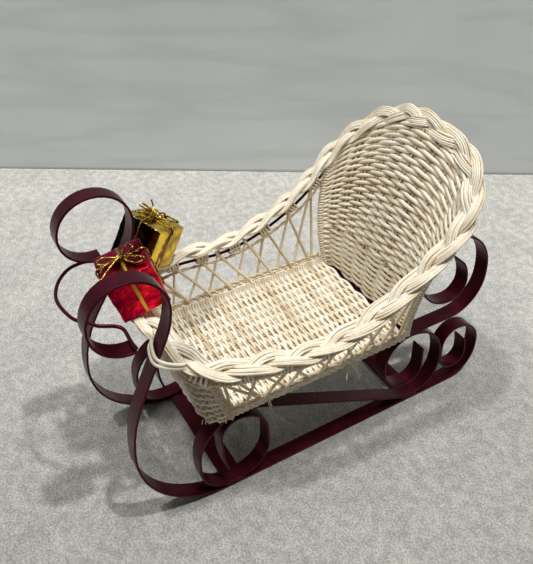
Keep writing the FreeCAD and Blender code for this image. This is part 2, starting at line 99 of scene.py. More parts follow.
def node(tree, kind, **values):
    """Adds a node; values are its sockets by name, or its settings."""
    made = tree.nodes.new(kind)
    for key, value in values.items():
        socket = made.inputs.get(key.replace("_", " "))
        if socket is not None:
            socket.default_value = value
        else:
            setattr(made, key, value)
    return made


def ramp(tree, factor, stops):
    """A colour ramp through (place, colour) stops, fed by factor."""
    made = tree.nodes.new("ShaderNodeValToRGB")
    elements = made.color_ramp.elements
    while len(elements) < len(stops):
        elements.new(0.5)
    for element, (place, colour) in zip(elements, stops):
        element.position = place
        element.color = (*colour, 1.0)
    tree.links.new(factor, made.inputs["Fac"])
    return made.outputs["Color"]


print("material helpers ready")

# %% [markdown]
# A pattern has to stay on its piece when the camera moves, so it is read from the object's own
# coordinates. Noise squeezed along an axis gives veins or fibres, and plain noise gives clouds,
# specks and dents. Multiplying one colour by another darkens the first, as dirt or shade does.

# %% Pattern helpers
def object_place(tree):
    """The place on the object, in metres."""
    return node(tree, "ShaderNodeTexCoord").outputs["Object"]


def stretched_noise(tree, source, scale, squeeze=(1, 1, 1), detail=3.0):
    """Noise over a coordinate, squeezed along its axes."""
    mapping = node(tree, "ShaderNodeMapping", Scale=squeeze)
    texture = node(tree, "ShaderNodeTexNoise", Scale=scale, Detail=detail)
    tree.links.new(source, mapping.inputs["Vector"])
    tree.links.new(mapping.outputs["Vector"], texture.inputs["Vector"])
    return texture.outputs["Fac"]


def multiplied(tree, first, second, share=1.0):
    """First colour multiplied by the second, by a share from 0 to 1."""
    made = node(tree, "ShaderNodeMixRGB", blend_type="MULTIPLY")
    made.inputs[0].default_value = share
    tree.links.new(first, made.inputs[1])
    tree.links.new(second, made.inputs[2])
    return made.outputs[0]


def scaled(tree, source, factor, plus):
    """A number times factor, plus a fixed number or another socket."""
    made = node(tree, "ShaderNodeMath", operation="MULTIPLY_ADD")
    tree.links.new(source, made.inputs[0])
    made.inputs[1].default_value = factor
    if isinstance(plus, float):
        made.inputs[2].default_value = plus
    else:
        tree.links.new(plus, made.inputs[2])
    return made.outputs[0]


def way_along(tree, place, direction):
    """How far a place lies along a direction."""
    made = node(tree, "ShaderNodeVectorMath", operation="DOT_PRODUCT")
    tree.links.new(place, made.inputs[0])
    made.inputs[1].default_value = direction
    return made.outputs["Value"]


print("pattern helpers ready")

# %% [markdown]
# ## The room
# The sleigh was photographed on pale stone, in front of a plain grey wall. Both are staging and not
# part of the object. Each is one big flat mesh, because nothing of their thickness shows, and faint
# clouds of tone keep the stone from looking like paper.

# %% Flat sheets of stone
ROOM_SIZE = 6.0


def mesh_object(name, bm, material):
    """Turns a finished bmesh into an object of one material."""
    data = bpy.data.meshes.new(name)
    bm.to_mesh(data)
    bm.free()
    data.materials.append(material)
    return add_object(name, data)


def flat_stage(name, matrix, material):
    """A flat square of the room, which isn't part of the object."""
    bm = bmesh.new()
    bmesh.ops.create_grid(bm, x_segments=1, y_segments=1, size=ROOM_SIZE / 2)
    bmesh.ops.transform(bm, matrix=matrix, verts=bm.verts)
    made = mesh_object(name, bm, material)
    print("stage", name, ROOM_SIZE, "m wide")


def stone(name, light, dark, scale):
    """Matt stone with soft clouds; the last value is its colour so far."""
    material, tree, shader = new_material(name, Roughness=0.8, Specular_IOR_Level=0.2)
    clouds = stretched_noise(tree, object_place(tree), scale, detail=6.0)
    return material, tree, shader, ramp(tree, clouds, [(0.35, dark), (0.62, light)])


print("sheets are", ROOM_SIZE, "m square")

# %% [markdown]
# The floor is a speckled stone. Three sizes of specks lie over each other, from coarse to as fine
# as sand, because one size alone looks printed. A ramp also paints the floor paler towards the wall:
# this is painted light, brighter towards the wall. A ramp only knows 0 to 1, so the distance is moved
# by a half first.

# %% Floor
SPECKLE = 0.15
SPECK_SIZES = ((130, 0.8), (620, 1.5), (1500, 1.9))
TO_WALL = (-0.862, 0.507, 0.0)
PAINTED_LIGHT_STOPS = [(-0.16, 0.62), (-0.04, 0.66), (0.14, 0.86), (0.36, 1.0)]

pale_stone, tree, shader, colour = stone("pale_stone", (0.60, 0.592, 0.566), (0.527, 0.522, 0.50), scale=22)
for size, share in SPECK_SIZES:
    grain = stretched_noise(tree, object_place(tree), size, detail=9.0)
    swing = SPECKLE * share
    stops = [(0.38, (1 - swing,) * 3), (0.50, WHITE), (0.62, (1 + swing,) * 3)]
    colour = multiplied(tree, colour, ramp(tree, grain, stops))
# Painted light: the floor's colour gets paler towards the wall.
distance = scaled(tree, way_along(tree, object_place(tree), TO_WALL), 1.0, 0.5)
painted_light = ramp(tree, distance, [(at + 0.5, (v, v, v * 0.99)) for at, v in PAINTED_LIGHT_STOPS])
tree.links.new(multiplied(tree, colour, painted_light), shader.inputs["Base Color"])
flat_stage("floor", Matrix.Identity(4), pale_stone)

# %% [markdown]
# The wall has faint slanting veins and a dark joint where it meets the floor. It is solid from the
# front and clear from its rear, so the sleigh can be seen from all round. The shader is mixed with
# a transparent one by which side of the sheet is seen.

# %% Wall
WALL_PLACE = Vector((-0.3357, 0.1779, 0.0))
WALL_FACES = Vector((0.849, -0.528, 0.0))

grey_wall, tree, shader, colour = stone("grey_wall", (0.78, 0.82, 0.81), (0.70, 0.74, 0.735), scale=4)
place = object_place(tree)
slant = stretched_noise(tree, place, 2.2, squeeze=(1, 1.5, 9), detail=6.0)
veins = ramp(tree, slant, [(0.40, WHITE), (0.50, (0.92, 0.92, 0.92)), (0.58, WHITE)])
height = way_along(tree, place, (0.0, 0.0, 1.0))
joint = ramp(tree, height, [(0.0010, (0.45, 0.45, 0.45)), (0.0025, WHITE)])
wall_colour = multiplied(tree, multiplied(tree, colour, veins), joint)
tree.links.new(wall_colour, shader.inputs["Base Color"])
one_sided = node(tree, "ShaderNodeMixShader")
tree.links.new(node(tree, "ShaderNodeNewGeometry").outputs["Backfacing"], one_sided.inputs[0])
tree.links.new(shader.outputs[0], one_sided.inputs[1])
tree.links.new(node(tree, "ShaderNodeBsdfTransparent").outputs[0], one_sided.inputs[2])
tree.links.new(one_sided.outputs[0], tree.nodes["Material Output"].inputs["Surface"])
wall_turn = WALL_FACES.to_track_quat("Z", "Y").to_matrix().to_4x4()
flat_stage("wall", Matrix.Translation(WALL_PLACE) @ wall_turn, grey_wall)

# %% [markdown]
# ## The light
# A room's walls and ceiling send back a little light from all sides. A faint dome does that here,
# dimmer near the horizon. It is kept low, because the photograph's shadows are deep.

# %% Dome
DOME_STRENGTH = 0.05

world = bpy.data.worlds.new("studio_world")
world.use_nodes = True
bpy.context.scene.world = world
tree = world.node_tree
sky = tree.nodes["Background"]
above = node(tree, "ShaderNodeSeparateXYZ")
tree.links.new(node(tree, "ShaderNodeTexCoord").outputs["Generated"], above.inputs[0])
dome = ramp(tree, above.outputs["Z"], [(0.0, (0.50, 0.50, 0.49)), (0.75, (1.0, 0.99, 0.97))])
tree.links.new(dome, sky.inputs["Color"])
sky.inputs["Strength"].default_value = DOME_STRENGTH
print("dome strength", DOME_STRENGTH)

# %% [markdown]
# The photograph was taken under several small ceiling lights, because each scroll has more than one
# shadow and the shadows have clear edges. The key lamp throws the scrolls' shadows to the left. The
# rear lamp stands further back. The front and the low lamp light the inside of the basket's back
# and throw the round shadows to the right. Together they light a level white card to about white,
# and the Standard view shows each colour about as it is written.

# %% Lamps
LAMP_DISTANCE = 2.6
LAMP_TARGET = Vector((0, 0, 0.1))
WARM_WHITE = (1.0, 0.985, 0.96)


def ceiling_lamp(name, direction, size, watts):
    """A small round lamp that shines at the sleigh from a direction."""
    data = bpy.data.lights.new(name, "AREA")
    data.shape = "DISK"
    data.size = size
    data.energy = watts
    data.color = WARM_WHITE
    lamp = add_object(name, data)
    direction = Vector(direction).normalized()
    lamp.location = LAMP_TARGET + direction * LAMP_DISTANCE
    lamp.rotation_euler = direction.to_track_quat("Z", "Y").to_euler()
    print(name, watts, "W")


ceiling_lamp("key_lamp", (0.25, 0.178, 1.0), size=0.11, watts=36.5)
ceiling_lamp("rear_lamp", (0.10, 0.26, 1.0), size=0.14, watts=5.0)
ceiling_lamp("front_lamp", (-0.06, -0.28, 1.0), size=0.16, watts=23.0)
ceiling_lamp("low_lamp", (-0.05, -0.43, 1.0), size=0.22, watts=9.5)
bpy.context.scene.view_settings.view_transform = "Standard"

# %% [markdown]
# ## The painted frame
# The frame has a dark red satin paint with a metallic glow. Plain red would look like plastic, so
# the shader is partly metal, its colour is mottled a little, and its gloss changes slowly from
# place to place, as brushed paint does. A very fine bump breaks up the highlights.

# %% Paint
def add_bump(tree, shader, height, strength, distance):
    """Dents and ridges that only bend the light; the distance is in metres."""
    bump = node(tree, "ShaderNodeBump", Strength=strength, Distance=distance)
    tree.links.new(height, bump.inputs["Height"])
    tree.links.new(bump.outputs["Normal"], shader.inputs["Normal"])


PAINT, tree, shader = new_material("satin_paint", Metallic=0.7, Roughness=0.36, Specular_IOR_Level=0.22)
place = object_place(tree)
mottle = stretched_noise(tree, place, 55, detail=4.0)
colour = ramp(tree, mottle, [(0.3, (0.056, 0.0045, 0.012)), (0.7, (0.088, 0.007, 0.020))])
tree.links.new(colour, shader.inputs["Base Color"])
rough = node(tree, "ShaderNodeMapRange", From_Min=0.3, From_Max=0.7, To_Min=0.27, To_Max=0.40)
tree.links.new(stretched_noise(tree, place, 140, detail=5.0), rough.inputs["Value"])
tree.links.new(rough.outputs["Result"], shader.inputs["Roughness"])
add_bump(tree, shader, stretched_noise(tree, place, 900, detail=2.0), strength=0.10, distance=0.0002)
print("material", PAINT.name)

# %% [markdown]
# The runners, braces, rails and cross straps are bent flat steel. Their measured shapes are right,
# but a measured mesh has hard edges and flat facets. They could be drawn again, and would then
# no longer be exact. So each one is copied, its triangles are merged back into whole faces, and the
# long edges get a small round, because real strap has rolled edges that catch a thin line of light.

# %% Rounded straps
STRAP_NAMES = ("runner", "scroll_brace", "side_rail", "ground_strap", "seat_strap")
EDGE_ROUND = 0.00028
SAME_POINT = 2e-6
FLAT_BELOW, SHARP_ABOVE = math.radians(0.4), math.radians(40)


def sharp_edges(bm, least):
    """The edges where two faces meet at more than an angle."""
    return [e for e in bm.edges if len(e.link_faces) == 2 and e.calc_face_angle() > least]


def rounded_copy(name):
    """A copy of a measured strap with whole faces and rounded edges."""
    bm = bmesh.new()
    bm.from_mesh(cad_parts[name].data)
    bmesh.ops.remove_doubles(bm, verts=bm.verts, dist=SAME_POINT)
    bmesh.ops.dissolve_limit(bm, angle_limit=FLAT_BELOW, verts=bm.verts, edges=bm.edges)
    bmesh.ops.bevel(bm, geom=sharp_edges(bm, SHARP_ABOVE), offset=EDGE_ROUND, segments=2,
                    profile=0.5, affect="EDGES", material=-1, clamp_overlap=True)
    for face in bm.faces:
        face.smooth = True
        face.material_index = 0
    made = mesh_object(name + "_painted", bm, PAINT)
    made.modifiers.new("even shading", "WEIGHTED_NORMAL").keep_sharp = True
    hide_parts(name)
    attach(made, "root")
    print(name, len(made.data.polygons), "faces")


for strap in [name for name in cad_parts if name.startswith(STRAP_NAMES)]:
    rounded_copy(strap)

# %% [markdown]
# ## Lines through measured points
# Reed and rod are long and round, so they are best drawn as curves. The rim's middle line goes
# through measured points. A Bezier curve would need handles set by hand. A cubic spline finds its
# own bend at each point from one small set of equations, solved here with numpy. The points are
# called pegs, as if a cane were bent round them. All lengths below are in millimetres until a mesh
# is made.

# %% Smooth line through points
DOTS_A_SPAN = 40


def find_bends(pegs, ends, spans, closed):
    """How much a cubic line bends at each peg, so that neighbouring spans meet smoothly."""
    count = len(pegs)
    weights, pulls = np.zeros((count, count)), np.zeros((count, 3))
    for i in range(count):
        if not closed and i in (0, count - 1):
            weights[i, i] = 1.0
            continue
        before, after = spans[i - 1], spans[i % len(spans)]
        weights[i, i - 1] += before
        weights[i, i] += 2 * (before + after)
        weights[i, (i + 1) % count] += after
        pulls[i] = 6 * ((ends[i + 1] - pegs[i]) / after - (pegs[i] - pegs[i - 1]) / before)
    return np.linalg.solve(weights, pulls)


def smooth_line(points, closed):
    """Many dots on a smooth cubic line through the given points."""
    pegs = np.array(points, float)
    ends = np.vstack([pegs, pegs[:1]]) if closed else pegs
    spans = np.linalg.norm(np.diff(ends, axis=0), axis=1)
    bends = find_bends(pegs, ends, spans, closed)
    dots = []
    for i, span in enumerate(spans):
        here, there = i, (i + 1) % len(pegs)
        for k in range(DOTS_A_SPAN):
            gone = span * k / DOTS_A_SPAN
            left = span - gone
            curved = bends[here] * left**3 / (6 * span) + bends[there] * gone**3 / (6 * span)
            from_here = (pegs[here] / span - bends[here] * span / 6) * left
            dots.append(curved + from_here + (pegs[there] / span - bends[there] * span / 6) * gone)
    if not closed:
        dots.append(pegs[-1])
    return np.array(dots)


print("a line through 3 points gets", len(smooth_line([(0, 0, 0), (1, 1, 0), (2, 0, 0)], False)), "dots")

# %% [markdown]
# The rim runs all round the basket: low at the front and sides, and high over the back. Only its
# left half is written down, from the front's middle to the back's, and the right half mirrors it.
# A Line can be asked for the point at any share of its length, so 0.5 is the middle of the back.

# %% The rim's line
class Line:
    """A smooth line that can be asked for the point at any share of its length."""

    def __init__(self, points, closed=False):
        self.closed = closed
        dots = smooth_line(points, closed)
        self.dots = np.vstack([dots, dots[:1]]) if closed else dots
        steps = np.linalg.norm(np.diff(self.dots, axis=0), axis=1)
        self.far = np.concatenate([[0], np.cumsum(steps)])
        self.length = self.far[-1]

    def at(self, share):
        share = share % 1.0 if self.closed else min(1.0, max(0.0, share))
        return Vector([np.interp(share * self.length, self.far, self.dots[:, i]) for i in range(3)])

    def along(self, share):
        return (self.at(share + 0.001) - self.at(share - 0.001)).normalized()


LEFT_RIM = [
    (0.0, -113.5, 143.5), (18.0, -112.5, 145.5), (34.5, -107.6, 143.5), (52.5, -96.5, 130.0),
    (65.8, -60.0, 125.0), (69.5, -16.6, 120.3), (70.7, 28.0, 131.5), (71.3, 65.0, 154.5),
    (69.5, 94.5, 182.0), (48.0, 116.0, 206.0), (22.0, 120.0, 217.8), (0.0, 117.0, 222.8),
]
RIM = Line(LEFT_RIM + [(-x, y, z) for x, y, z in LEFT_RIM[-2:0:-1]], closed=True)
print("rim is", round(RIM.length), "mm round")

# %% [markdown]
# The basket's walls rise from the floor's edge to the rim. A wall point is named by its share of
# the way round the rim and by its height, from 0 at the foot to 1 at the rim. The side walls lean
# straight out. The back is scooped, so its middle is pulled forward.

# %% The basket's walls
WALL_HALF, WALL_FRONT, WALL_REAR = 56.0, -93.5, 79.0
FRONT_FOOT, SIDE_FOOT, BACK_FOOT = 75.0, 76.0, 75.3
FOOT_PLACES = [
    (0.0, (0.0, WALL_FRONT, FRONT_FOOT)), (0.050, (43.0, WALL_FRONT, FRONT_FOOT)),
    (0.070, (51.5, -91.5, FRONT_FOOT)), (0.090, (55.5, -86.0, 75.5)),
    (0.110, (WALL_HALF, -77.0, SIDE_FOOT)), (0.150, (WALL_HALF, -60.0, SIDE_FOOT)),
    (0.345, (WALL_HALF, 70.0, SIDE_FOOT)), (0.375, (50.0, WALL_REAR, BACK_FOOT)),
    (0.440, (25.0, WALL_REAR, BACK_FOOT)), (0.500, (0.0, WALL_REAR, BACK_FOOT)),
]
BACK_SHARE, BACK_SCOOP, SCOOP_ENDS = 0.14, 17.5, 0.05


def foot_at(share):
    """The wall's foot below a share of the rim."""
    share %= 1.0
    side = 1.0
    if share > 0.5:
        share, side = 1.0 - share, -1.0
    places = [place for place, _ in FOOT_PLACES]
    x, y, z = (np.interp(share, places, [point[i] for _, point in FOOT_PLACES]) for i in range(3))
    return Vector((side * x, y, z))


def wall_at(share, height):
    """A point on the wall's middle sheet."""
    top, foot = RIM.at(share), foot_at(share)
    away = abs(share % 1.0 - 0.5)
    recline = 1.0 if away < BACK_SHARE else max(0.0, 1.0 - (away - BACK_SHARE) / SCOOP_ENDS)
    middle = (foot + top) / 2 + Vector((0, -BACK_SCOOP * recline, 0))
    return foot * (1 - height) ** 2 + middle * 2 * height * (1 - height) + top * height**2


def wall_out(share, height):
    """The direction straight out of the wall."""
    across = wall_at(share + 0.003, height) - wall_at(share - 0.003, height)
    upward = wall_at(share, height + 0.02) - wall_at(share, height - 0.02)
    return across.cross(upward).normalized()


print("wall height at the middle of the back", round((RIM.at(0.5) - foot_at(0.5)).length), "mm")

# %% [markdown]
# ## Reed
# Wicker reed is peeled cane: cream, round, and a little different in tone from one length to the
# next. One colour for all would look moulded. So the material reads a tone number, a slow stain and
# long fibres that follow the reed's own UV map. It also reads how far each bit of reed stands proud
# of the wall's middle, and darkens the reed towards that middle as painted shade, so the gaps and
# crossings between reeds look deep and dark.

# %% Reed material
FIBRE_STOPS = [(0.32, (0.76, 0.68, 0.57)), (0.55, WHITE)]
PAINTED_SHADE_STOPS = [(0.0, (0.06, 0.04, 0.03)), (0.12, (0.42, 0.33, 0.24)), (0.30, WHITE)]


def reed_material(name, stops):
    """Peeled cane whose tone, stain and fibres run along each reed."""
    material, tree, shader = new_material(name, Roughness=0.62)
    tone = node(tree, "ShaderNodeAttribute", attribute_name="tone").outputs["Fac"]
    stain = stretched_noise(tree, object_place(tree), 95, detail=4.0)
    base = ramp(tree, scaled(tree, stain, 0.55, scaled(tree, tone, 0.6, -0.08)), stops)
    along_reed = node(tree, "ShaderNodeUVMap").outputs["UV"]
    fibre = stretched_noise(tree, along_reed, 26, squeeze=(9, 0.25, 1), detail=3.0)
    streaked = multiplied(tree, base, ramp(tree, fibre, FIBRE_STOPS), share=0.45)
    # Painted shade: reeds darken towards the woven sheet's middle, between and under other reeds.
    proud = node(tree, "ShaderNodeAttribute", attribute_name="proud").outputs["Fac"]
    painted_shade = ramp(tree, proud, PAINTED_SHADE_STOPS)
    tree.links.new(multiplied(tree, streaked, painted_shade), shader.inputs["Base Color"])
    add_bump(tree, shader, fibre, strength=0.25, distance=0.00012)
    return material


CREAM = reed_material("cream_reed", [
    (0.04, (0.56, 0.40, 0.23)), (0.22, (0.80, 0.70, 0.53)), (0.50, (0.89, 0.82, 0.67)),
    (0.85, (0.94, 0.90, 0.80))])
TAN = reed_material("tan_reed", [
    (0.1, (0.56, 0.43, 0.27)), (0.5, (0.78, 0.66, 0.47)), (0.9, (0.88, 0.79, 0.62))])
print("materials", CREAM.name, TAN.name)

# %% [markdown]
# Many reeds are drawn as the lines of one curve with a round bevel, which is quicker than a tube of
# faces for each. While they are still lines, each gets a random tone number as its material slot,
# and a width that changes a little along it, as real cane does. The dice start from a fixed
# number, so every run gives the same reeds.

# %% Drawing reeds as a curve
TONES = 12
CENTRE_Y = 0.4
dice = random.Random(7)


def jitter(amount):
    """A small random step in any direction."""
    return Vector([dice.uniform(-amount, amount) for _ in range(3)])


def reed_curve(name, lines, thick, closed, ring, steps, order, uneven, widths):
    """One curve whose splines are round reeds, with a tone number as each one's material slot."""
    data = bpy.data.curves.new(name, "CURVE")
    data.dimensions = "3D"
    data.bevel_depth = thick / 2000
    data.bevel_resolution = ring
    data.resolution_u = steps
    data.use_fill_caps = not closed
    for _ in range(TONES):
        data.materials.append(None)
    for number, line in enumerate(lines):
        spline = data.splines.new("NURBS")
        spline.points.add(len(line) - 1)
        flat = []
        for x, y, z in line:
            flat += [x / 1000, (y + CENTRE_Y) / 1000, z / 1000, 1.0]
        spline.points.foreach_set("co", flat)
        width = widths[number] if widths else [1.0] * len(line)
        radii = [w * (1.0 + dice.uniform(-uneven, uneven)) for w in width]
        spline.points.foreach_set("radius", radii)
        spline.use_cyclic_u = closed
        spline.use_endpoint_u = not closed
        spline.order_u = order
        spline.material_index = dice.randrange(TONES)
    return data


print(TONES, "tones of reed")

# %% [markdown]
# A woven sheet is flat or scooped, and its reeds pass in front of its middle and behind it. To
# know how proud a point stands, the middle is sampled, a search tree finds the nearest sample, and
# the distance is measured straight out from there.

# %% How proud a reed stands
UP = Vector((0, 0, 1))


def woven_sheet(places, crest):
    """Search tree over (point, direction out) samples of a sheet's middle, with its crest in mm."""
    points = [Vector((x, y + CENTRE_Y, z)) / 1000 for (x, y, z), _ in places]
    tree = KDTree(len(points))
    for i, point in enumerate(points):
        tree.insert(point, i)
    tree.balance()
    return tree, points, [out for _, out in places], crest / 1000


def wall_sheet(shares, heights, crest):
    """The woven sheet of a part of the wall."""
    samples = [(float(s), float(h)) for s in shares for h in heights]
    return woven_sheet([(wall_at(s, h), wall_out(s, h)) for s, h in samples], crest)


def how_proud(mesh, sheet):
    """0 at the middle of a woven sheet and 1 at its crests; 1 all over where there is no sheet."""
    if sheet is None:
        return np.ones(len(mesh.vertices), np.float32)
    tree, points, normals, crest = sheet
    found = [(vert.co, tree.find(vert.co)[1]) for vert in mesh.vertices]
    far = [abs((co - points[i]).dot(normals[i])) for co, i in found]
    return np.clip(np.array(far, np.float32) / crest, 0, 1)


print("sheet helpers ready")

# %% [markdown]
# The curve then becomes one mesh. The mesh keeps the slot numbers on its faces, so they turn into
# an attribute that the material reads, and a second attribute says how proud each point stands.
# Every bundle of reeds in the basket, and the hoop, the rod and the cords, are laid this way.

# %% Laying reeds
def as_mesh(name, curve):
    """The mesh that a curve makes; the curve's own object goes away again."""
    drawn = add_object(name, curve)
    bpy.context.view_layer.update()
    mesh = bpy.data.meshes.new_from_object(drawn.evaluated_get(bpy.context.evaluated_depsgraph_get()))
    bpy.data.objects.remove(drawn)
    return mesh


def mark_reeds(mesh, sheet):
    """Writes the attributes tone, for each face, and proud, for each point."""
    tones = np.zeros(len(mesh.polygons), np.int32)
    mesh.polygons.foreach_get("material_index", tones)
    tone = mesh.attributes.new("tone", "FLOAT", "FACE")
    tone.data.foreach_set("value", (tones / (TONES - 1)).astype(np.float32))
    mesh.polygons.foreach_set("material_index", np.zeros(len(tones), np.int32))
    mesh.polygons.foreach_set("use_smooth", np.ones(len(tones), bool))
    proud = mesh.attributes.new("proud", "FLOAT", "POINT")
    proud.data.foreach_set("value", how_proud(mesh, sheet))


def lay_reeds(name, lines, material, thick, closed=False, ring=1, steps=2, order=3,
              uneven=0.05, widths=None, sheet=None):
    """Round reeds along lines of points in millimetres, as one mesh object at the origin."""
    curve = reed_curve(name, lines, thick, closed, ring, steps, order, uneven, widths)
    mesh = as_mesh(name + "_lines", curve)
    mark_reeds(mesh, sheet)
    mesh.materials.clear()
    mesh.materials.append(material)
    made = add_object(name, mesh)
    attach(made, "root")
    mesh.calc_loop_triangles()
    print(name, len(lines), "reeds,", len(mesh.loop_triangles), "triangles")
    return made


print("ready to lay reeds")

# %% [markdown]
# ## The floor
# Eleven stakes run the length of the basket. Each weaver crosses them, over one and under the
# next, and its neighbour does the opposite. A plane with a bump would do from far off, but here the
# gaps show. Two points close together at each stake hold the reed up or down there, so it bulges
# like a capsule and crosses steeply between stakes. At the sides two weavers are one reed that
# turns up and comes back, which makes the row of small loops there.

# %% Floor weavers
FLOOR_Z, FLOOR_FRONT, FLOOR_END = 77.0, -90.2, 75.6
STAKES = range(-5, 6)
STAKE_STEP, WEAVER_STEP = 10.0, 2.36
WEAVER_LIFT, STAKE_GRIP = 0.95, 2.7
SIDE_EDGE = [(-91.7, 41.0), (-89.0, 49.0), (-80.0, 53.6), (FLOOR_END, 53.6)]
LOOP_FROM, LOOP_TOP, LOW_LOOP_TOP = -80, 82.6, 78.2


def floor_half(y):
    """Half the floor's width at a place along it."""
    return float(np.interp(y, [p[0] for p in SIDE_EDGE], [p[1] for p in SIDE_EDGE]))


def across_floor(row, y):
    """Points of one weaver over and under the stakes, from right to left."""
    points = []
    for stake in STAKES:
        x = stake * STAKE_STEP
        if abs(x) > floor_half(y) - 2.0:
            continue
        lift = WEAVER_LIFT * (1 if (stake + row) % 2 else -1)
        wander = dice.uniform(-0.2, 0.2)
        for near in (-STAKE_GRIP, STAKE_GRIP):
            points.append(Vector((x + near + dice.uniform(-0.3, 0.3), y + wander, FLOOR_Z + lift)))
    return points


def floor_weaver(row, back):
    """One weaver with its turned-up ends; every second one comes back the other way."""
    y = FLOOR_FRONT + row * WEAVER_STEP
    middle = across_floor(row, y)
    edge = floor_half(y)
    high = LOOP_TOP + dice.uniform(-1.2, 0.9) if y > LOOP_FROM else LOW_LOOP_TOP
    turn = y - 0.2 if back else y + 0.2
    right = [Vector((-edge - 1.9, y, high)), Vector((-edge - 0.6, y, 78.6))]
    left = [Vector((edge - 1.4, y, 77.4)), Vector((edge + 1.2, y, 79.6)), Vector((edge + 2.0, turn, high))]
    line = right + middle + left
    return line[::-1] if back else line


floor_rows = int((FLOOR_END - FLOOR_FRONT) / WEAVER_STEP)
weavers = []
for row in range(0, floor_rows - 1, 2):
    weavers.append(floor_weaver(row, False) + floor_weaver(row + 1, True))
print(floor_rows, "rows in the floor")

# %% [markdown]
# The stakes are thin and straight and lie in the floor's middle, where the painted shade between
# reeds is darkest, so they show as dark dashes between the weavers. The outer ones start a little
# further back, where the floor's corner is cut.

# %% Laying the floor
floor_grid = [((x, y, FLOOR_Z), UP) for x in range(-56, 57, 8) for y in range(-92, 77, 8)]
floor_sheet = woven_sheet(floor_grid, crest=1.3)
floor_weave = lay_reeds("floor_weave", weavers, CREAM, thick=2.36, uneven=0.1, sheet=floor_sheet)
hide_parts("floor_panel")

stakes = []
for x in [stake * STAKE_STEP for stake in STAKES]:
    start = -90.5 if abs(x) < 42 else -84.0
    stakes.append([Vector((x, y, FLOOR_Z)) for y in np.linspace(start, FLOOR_END - 2.8, 12)])
lay_reeds("floor_stakes", stakes, TAN, thick=1.2, sheet=floor_sheet)

# %% [markdown]
# ## The back
# The back has two kinds of weave. The lower rows run level over wide-set stakes. Above them the
# stakes are closer and the weavers fan out: the first is nearly level and the last is an arch that
# follows the rim. Both need a point "so many millimetres from the foot", so a table of lengths up
# the wall turns millimetres into a height on the wall.

# %% Measuring up the back
BACK_FROM, BACK_TO = 0.5 - BACK_SHARE + 0.004, 0.5 + BACK_SHARE - 0.004


def height_table(share):
    """Heights on the wall with their distances from the foot in mm."""
    heights = np.linspace(0, 1, 25)
    dots = [wall_at(share, h) for h in heights]
    far = [0.0]
    for a, b in zip(dots, dots[1:]):
        far.append(far[-1] + (b - a).length)
    return heights, far


def back_span(share):
    """The wall's whole length from foot to rim."""
    return height_table(share)[1][-1]


def back_point(share, up, out=0.0):
    """A point so many mm up the wall and out of it."""
    heights, far = height_table(share)
    height = float(np.interp(up, far, heights))
    return wall_at(share, height) + wall_out(share, height) * out


def in_and_out(step, row):
    """Where a weaver stands at a half step: out at one stake, in at the next, level between."""
    return 0.0 if step % 2 else (1 if (step // 2 + row) % 2 else -1)


print("the back is", round(back_span(0.5)), "mm high along its curve")

# %% [markdown]
# The level rows are spaced evenly from the foot. They swing out and in by almost a reed's width,
# which gives the deep basket look of the lower back.

# %% Level rows of the back
LOW_STAKES, LEVEL_ROWS, ROW_STEP, FIRST_ROW = 8, 17, 2.3, 1.2

level_rows = []
for row in range(LEVEL_ROWS):
    line = []
    for step in range(LOW_STAKES * 2 + 1):
        share = BACK_FROM + (BACK_TO - BACK_FROM) * step / (LOW_STAKES * 2)
        point = back_point(share, FIRST_ROW + row * ROW_STEP, out=1.9 * in_and_out(step, row))
        line.append(point + jitter(0.12))
    level_rows.append(line)
print(len(level_rows), "level rows")

# %% [markdown]
# The arched rows share out the room that is left below the plait, so they lie close at the edges,
# where the back is low, and further apart in the middle. Their width follows the room, because the
# weaver packs thin reeds where it is tight.

# %% Arched rows of the back
ARCH_STAKES, ARCH_ROWS, PLAIT_CLEAR = 12, 32, 7.2

top_level = FIRST_ROW + LEVEL_ROWS * ROW_STEP
spans = {float(s): back_span(s) for s in np.linspace(BACK_FROM, BACK_TO, ARCH_STAKES * 2 + 1)}
arch_rows, arch_widths = [], []
for row in range(ARCH_ROWS):
    line, width = [], []
    for step, (share, span) in enumerate(spans.items()):
        room = (span - PLAIT_CLEAR - top_level) / ARCH_ROWS
        up = top_level + room * (row + 0.5)
        line.append(back_point(share, up, out=1.6 * in_and_out(step, row)) + jitter(0.2))
        width.append(min(1.4, max(0.9, room / 2.4)))
    arch_rows.append(line)
    arch_widths.append(width)
shares, heights = np.linspace(BACK_FROM - 0.006, BACK_TO + 0.006, 60), np.linspace(0, 0.97, 60)
back_sheet = wall_sheet(shares, heights, crest=2.3)
lay_reeds("back_level_rows", level_rows, CREAM, thick=2.6, uneven=0.1, sheet=back_sheet)
back_arch = lay_reeds("back_arched_rows", arch_rows, CREAM, thick=2.5, uneven=0.1, widths=arch_widths,
                      sheet=back_sheet)
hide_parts("back_panel")

# %% [markdown]
# The stakes stand in the back's middle sheet, where the weavers pass in front of them and behind.
# Eight gaps lie between the low ones and twelve between the high ones. The two sets overlap by a
# few millimetres, so no gap shows where the weave changes.

# %% Stakes of the back
stakes = []
for share in np.linspace(BACK_FROM, BACK_TO, LOW_STAKES + 1):
    stakes.append([back_point(float(share), up) for up in np.linspace(0, top_level + 3, 7)])
for share in np.linspace(BACK_FROM, BACK_TO, ARCH_STAKES + 1):
    ups = np.linspace(top_level - 3, back_span(share) - 8.0, 10)
    stakes.append([back_point(float(share), up) for up in ups])
lay_reeds("back_stakes", stakes, TAN, thick=2.3, sheet=back_sheet)

# %% [markdown]
# A thinner reed is wound round each edge post of the back, turn against turn. It is a long coil: at
# each point one arm goes out of the wall and one across it, and the angle walks round them.

# %% Wrapped edges of the back
POINTS_A_TURN = 8


def wind(places, shake):
    """One reed wound round a core; each place is the core's middle and two arms across it."""
    line = []
    for i, (middle, arm, other) in enumerate(places):
        turn = 2 * math.pi * i / POINTS_A_TURN
        line.append(middle + arm * math.cos(turn) + other * math.sin(turn) + jitter(shake))
    return line


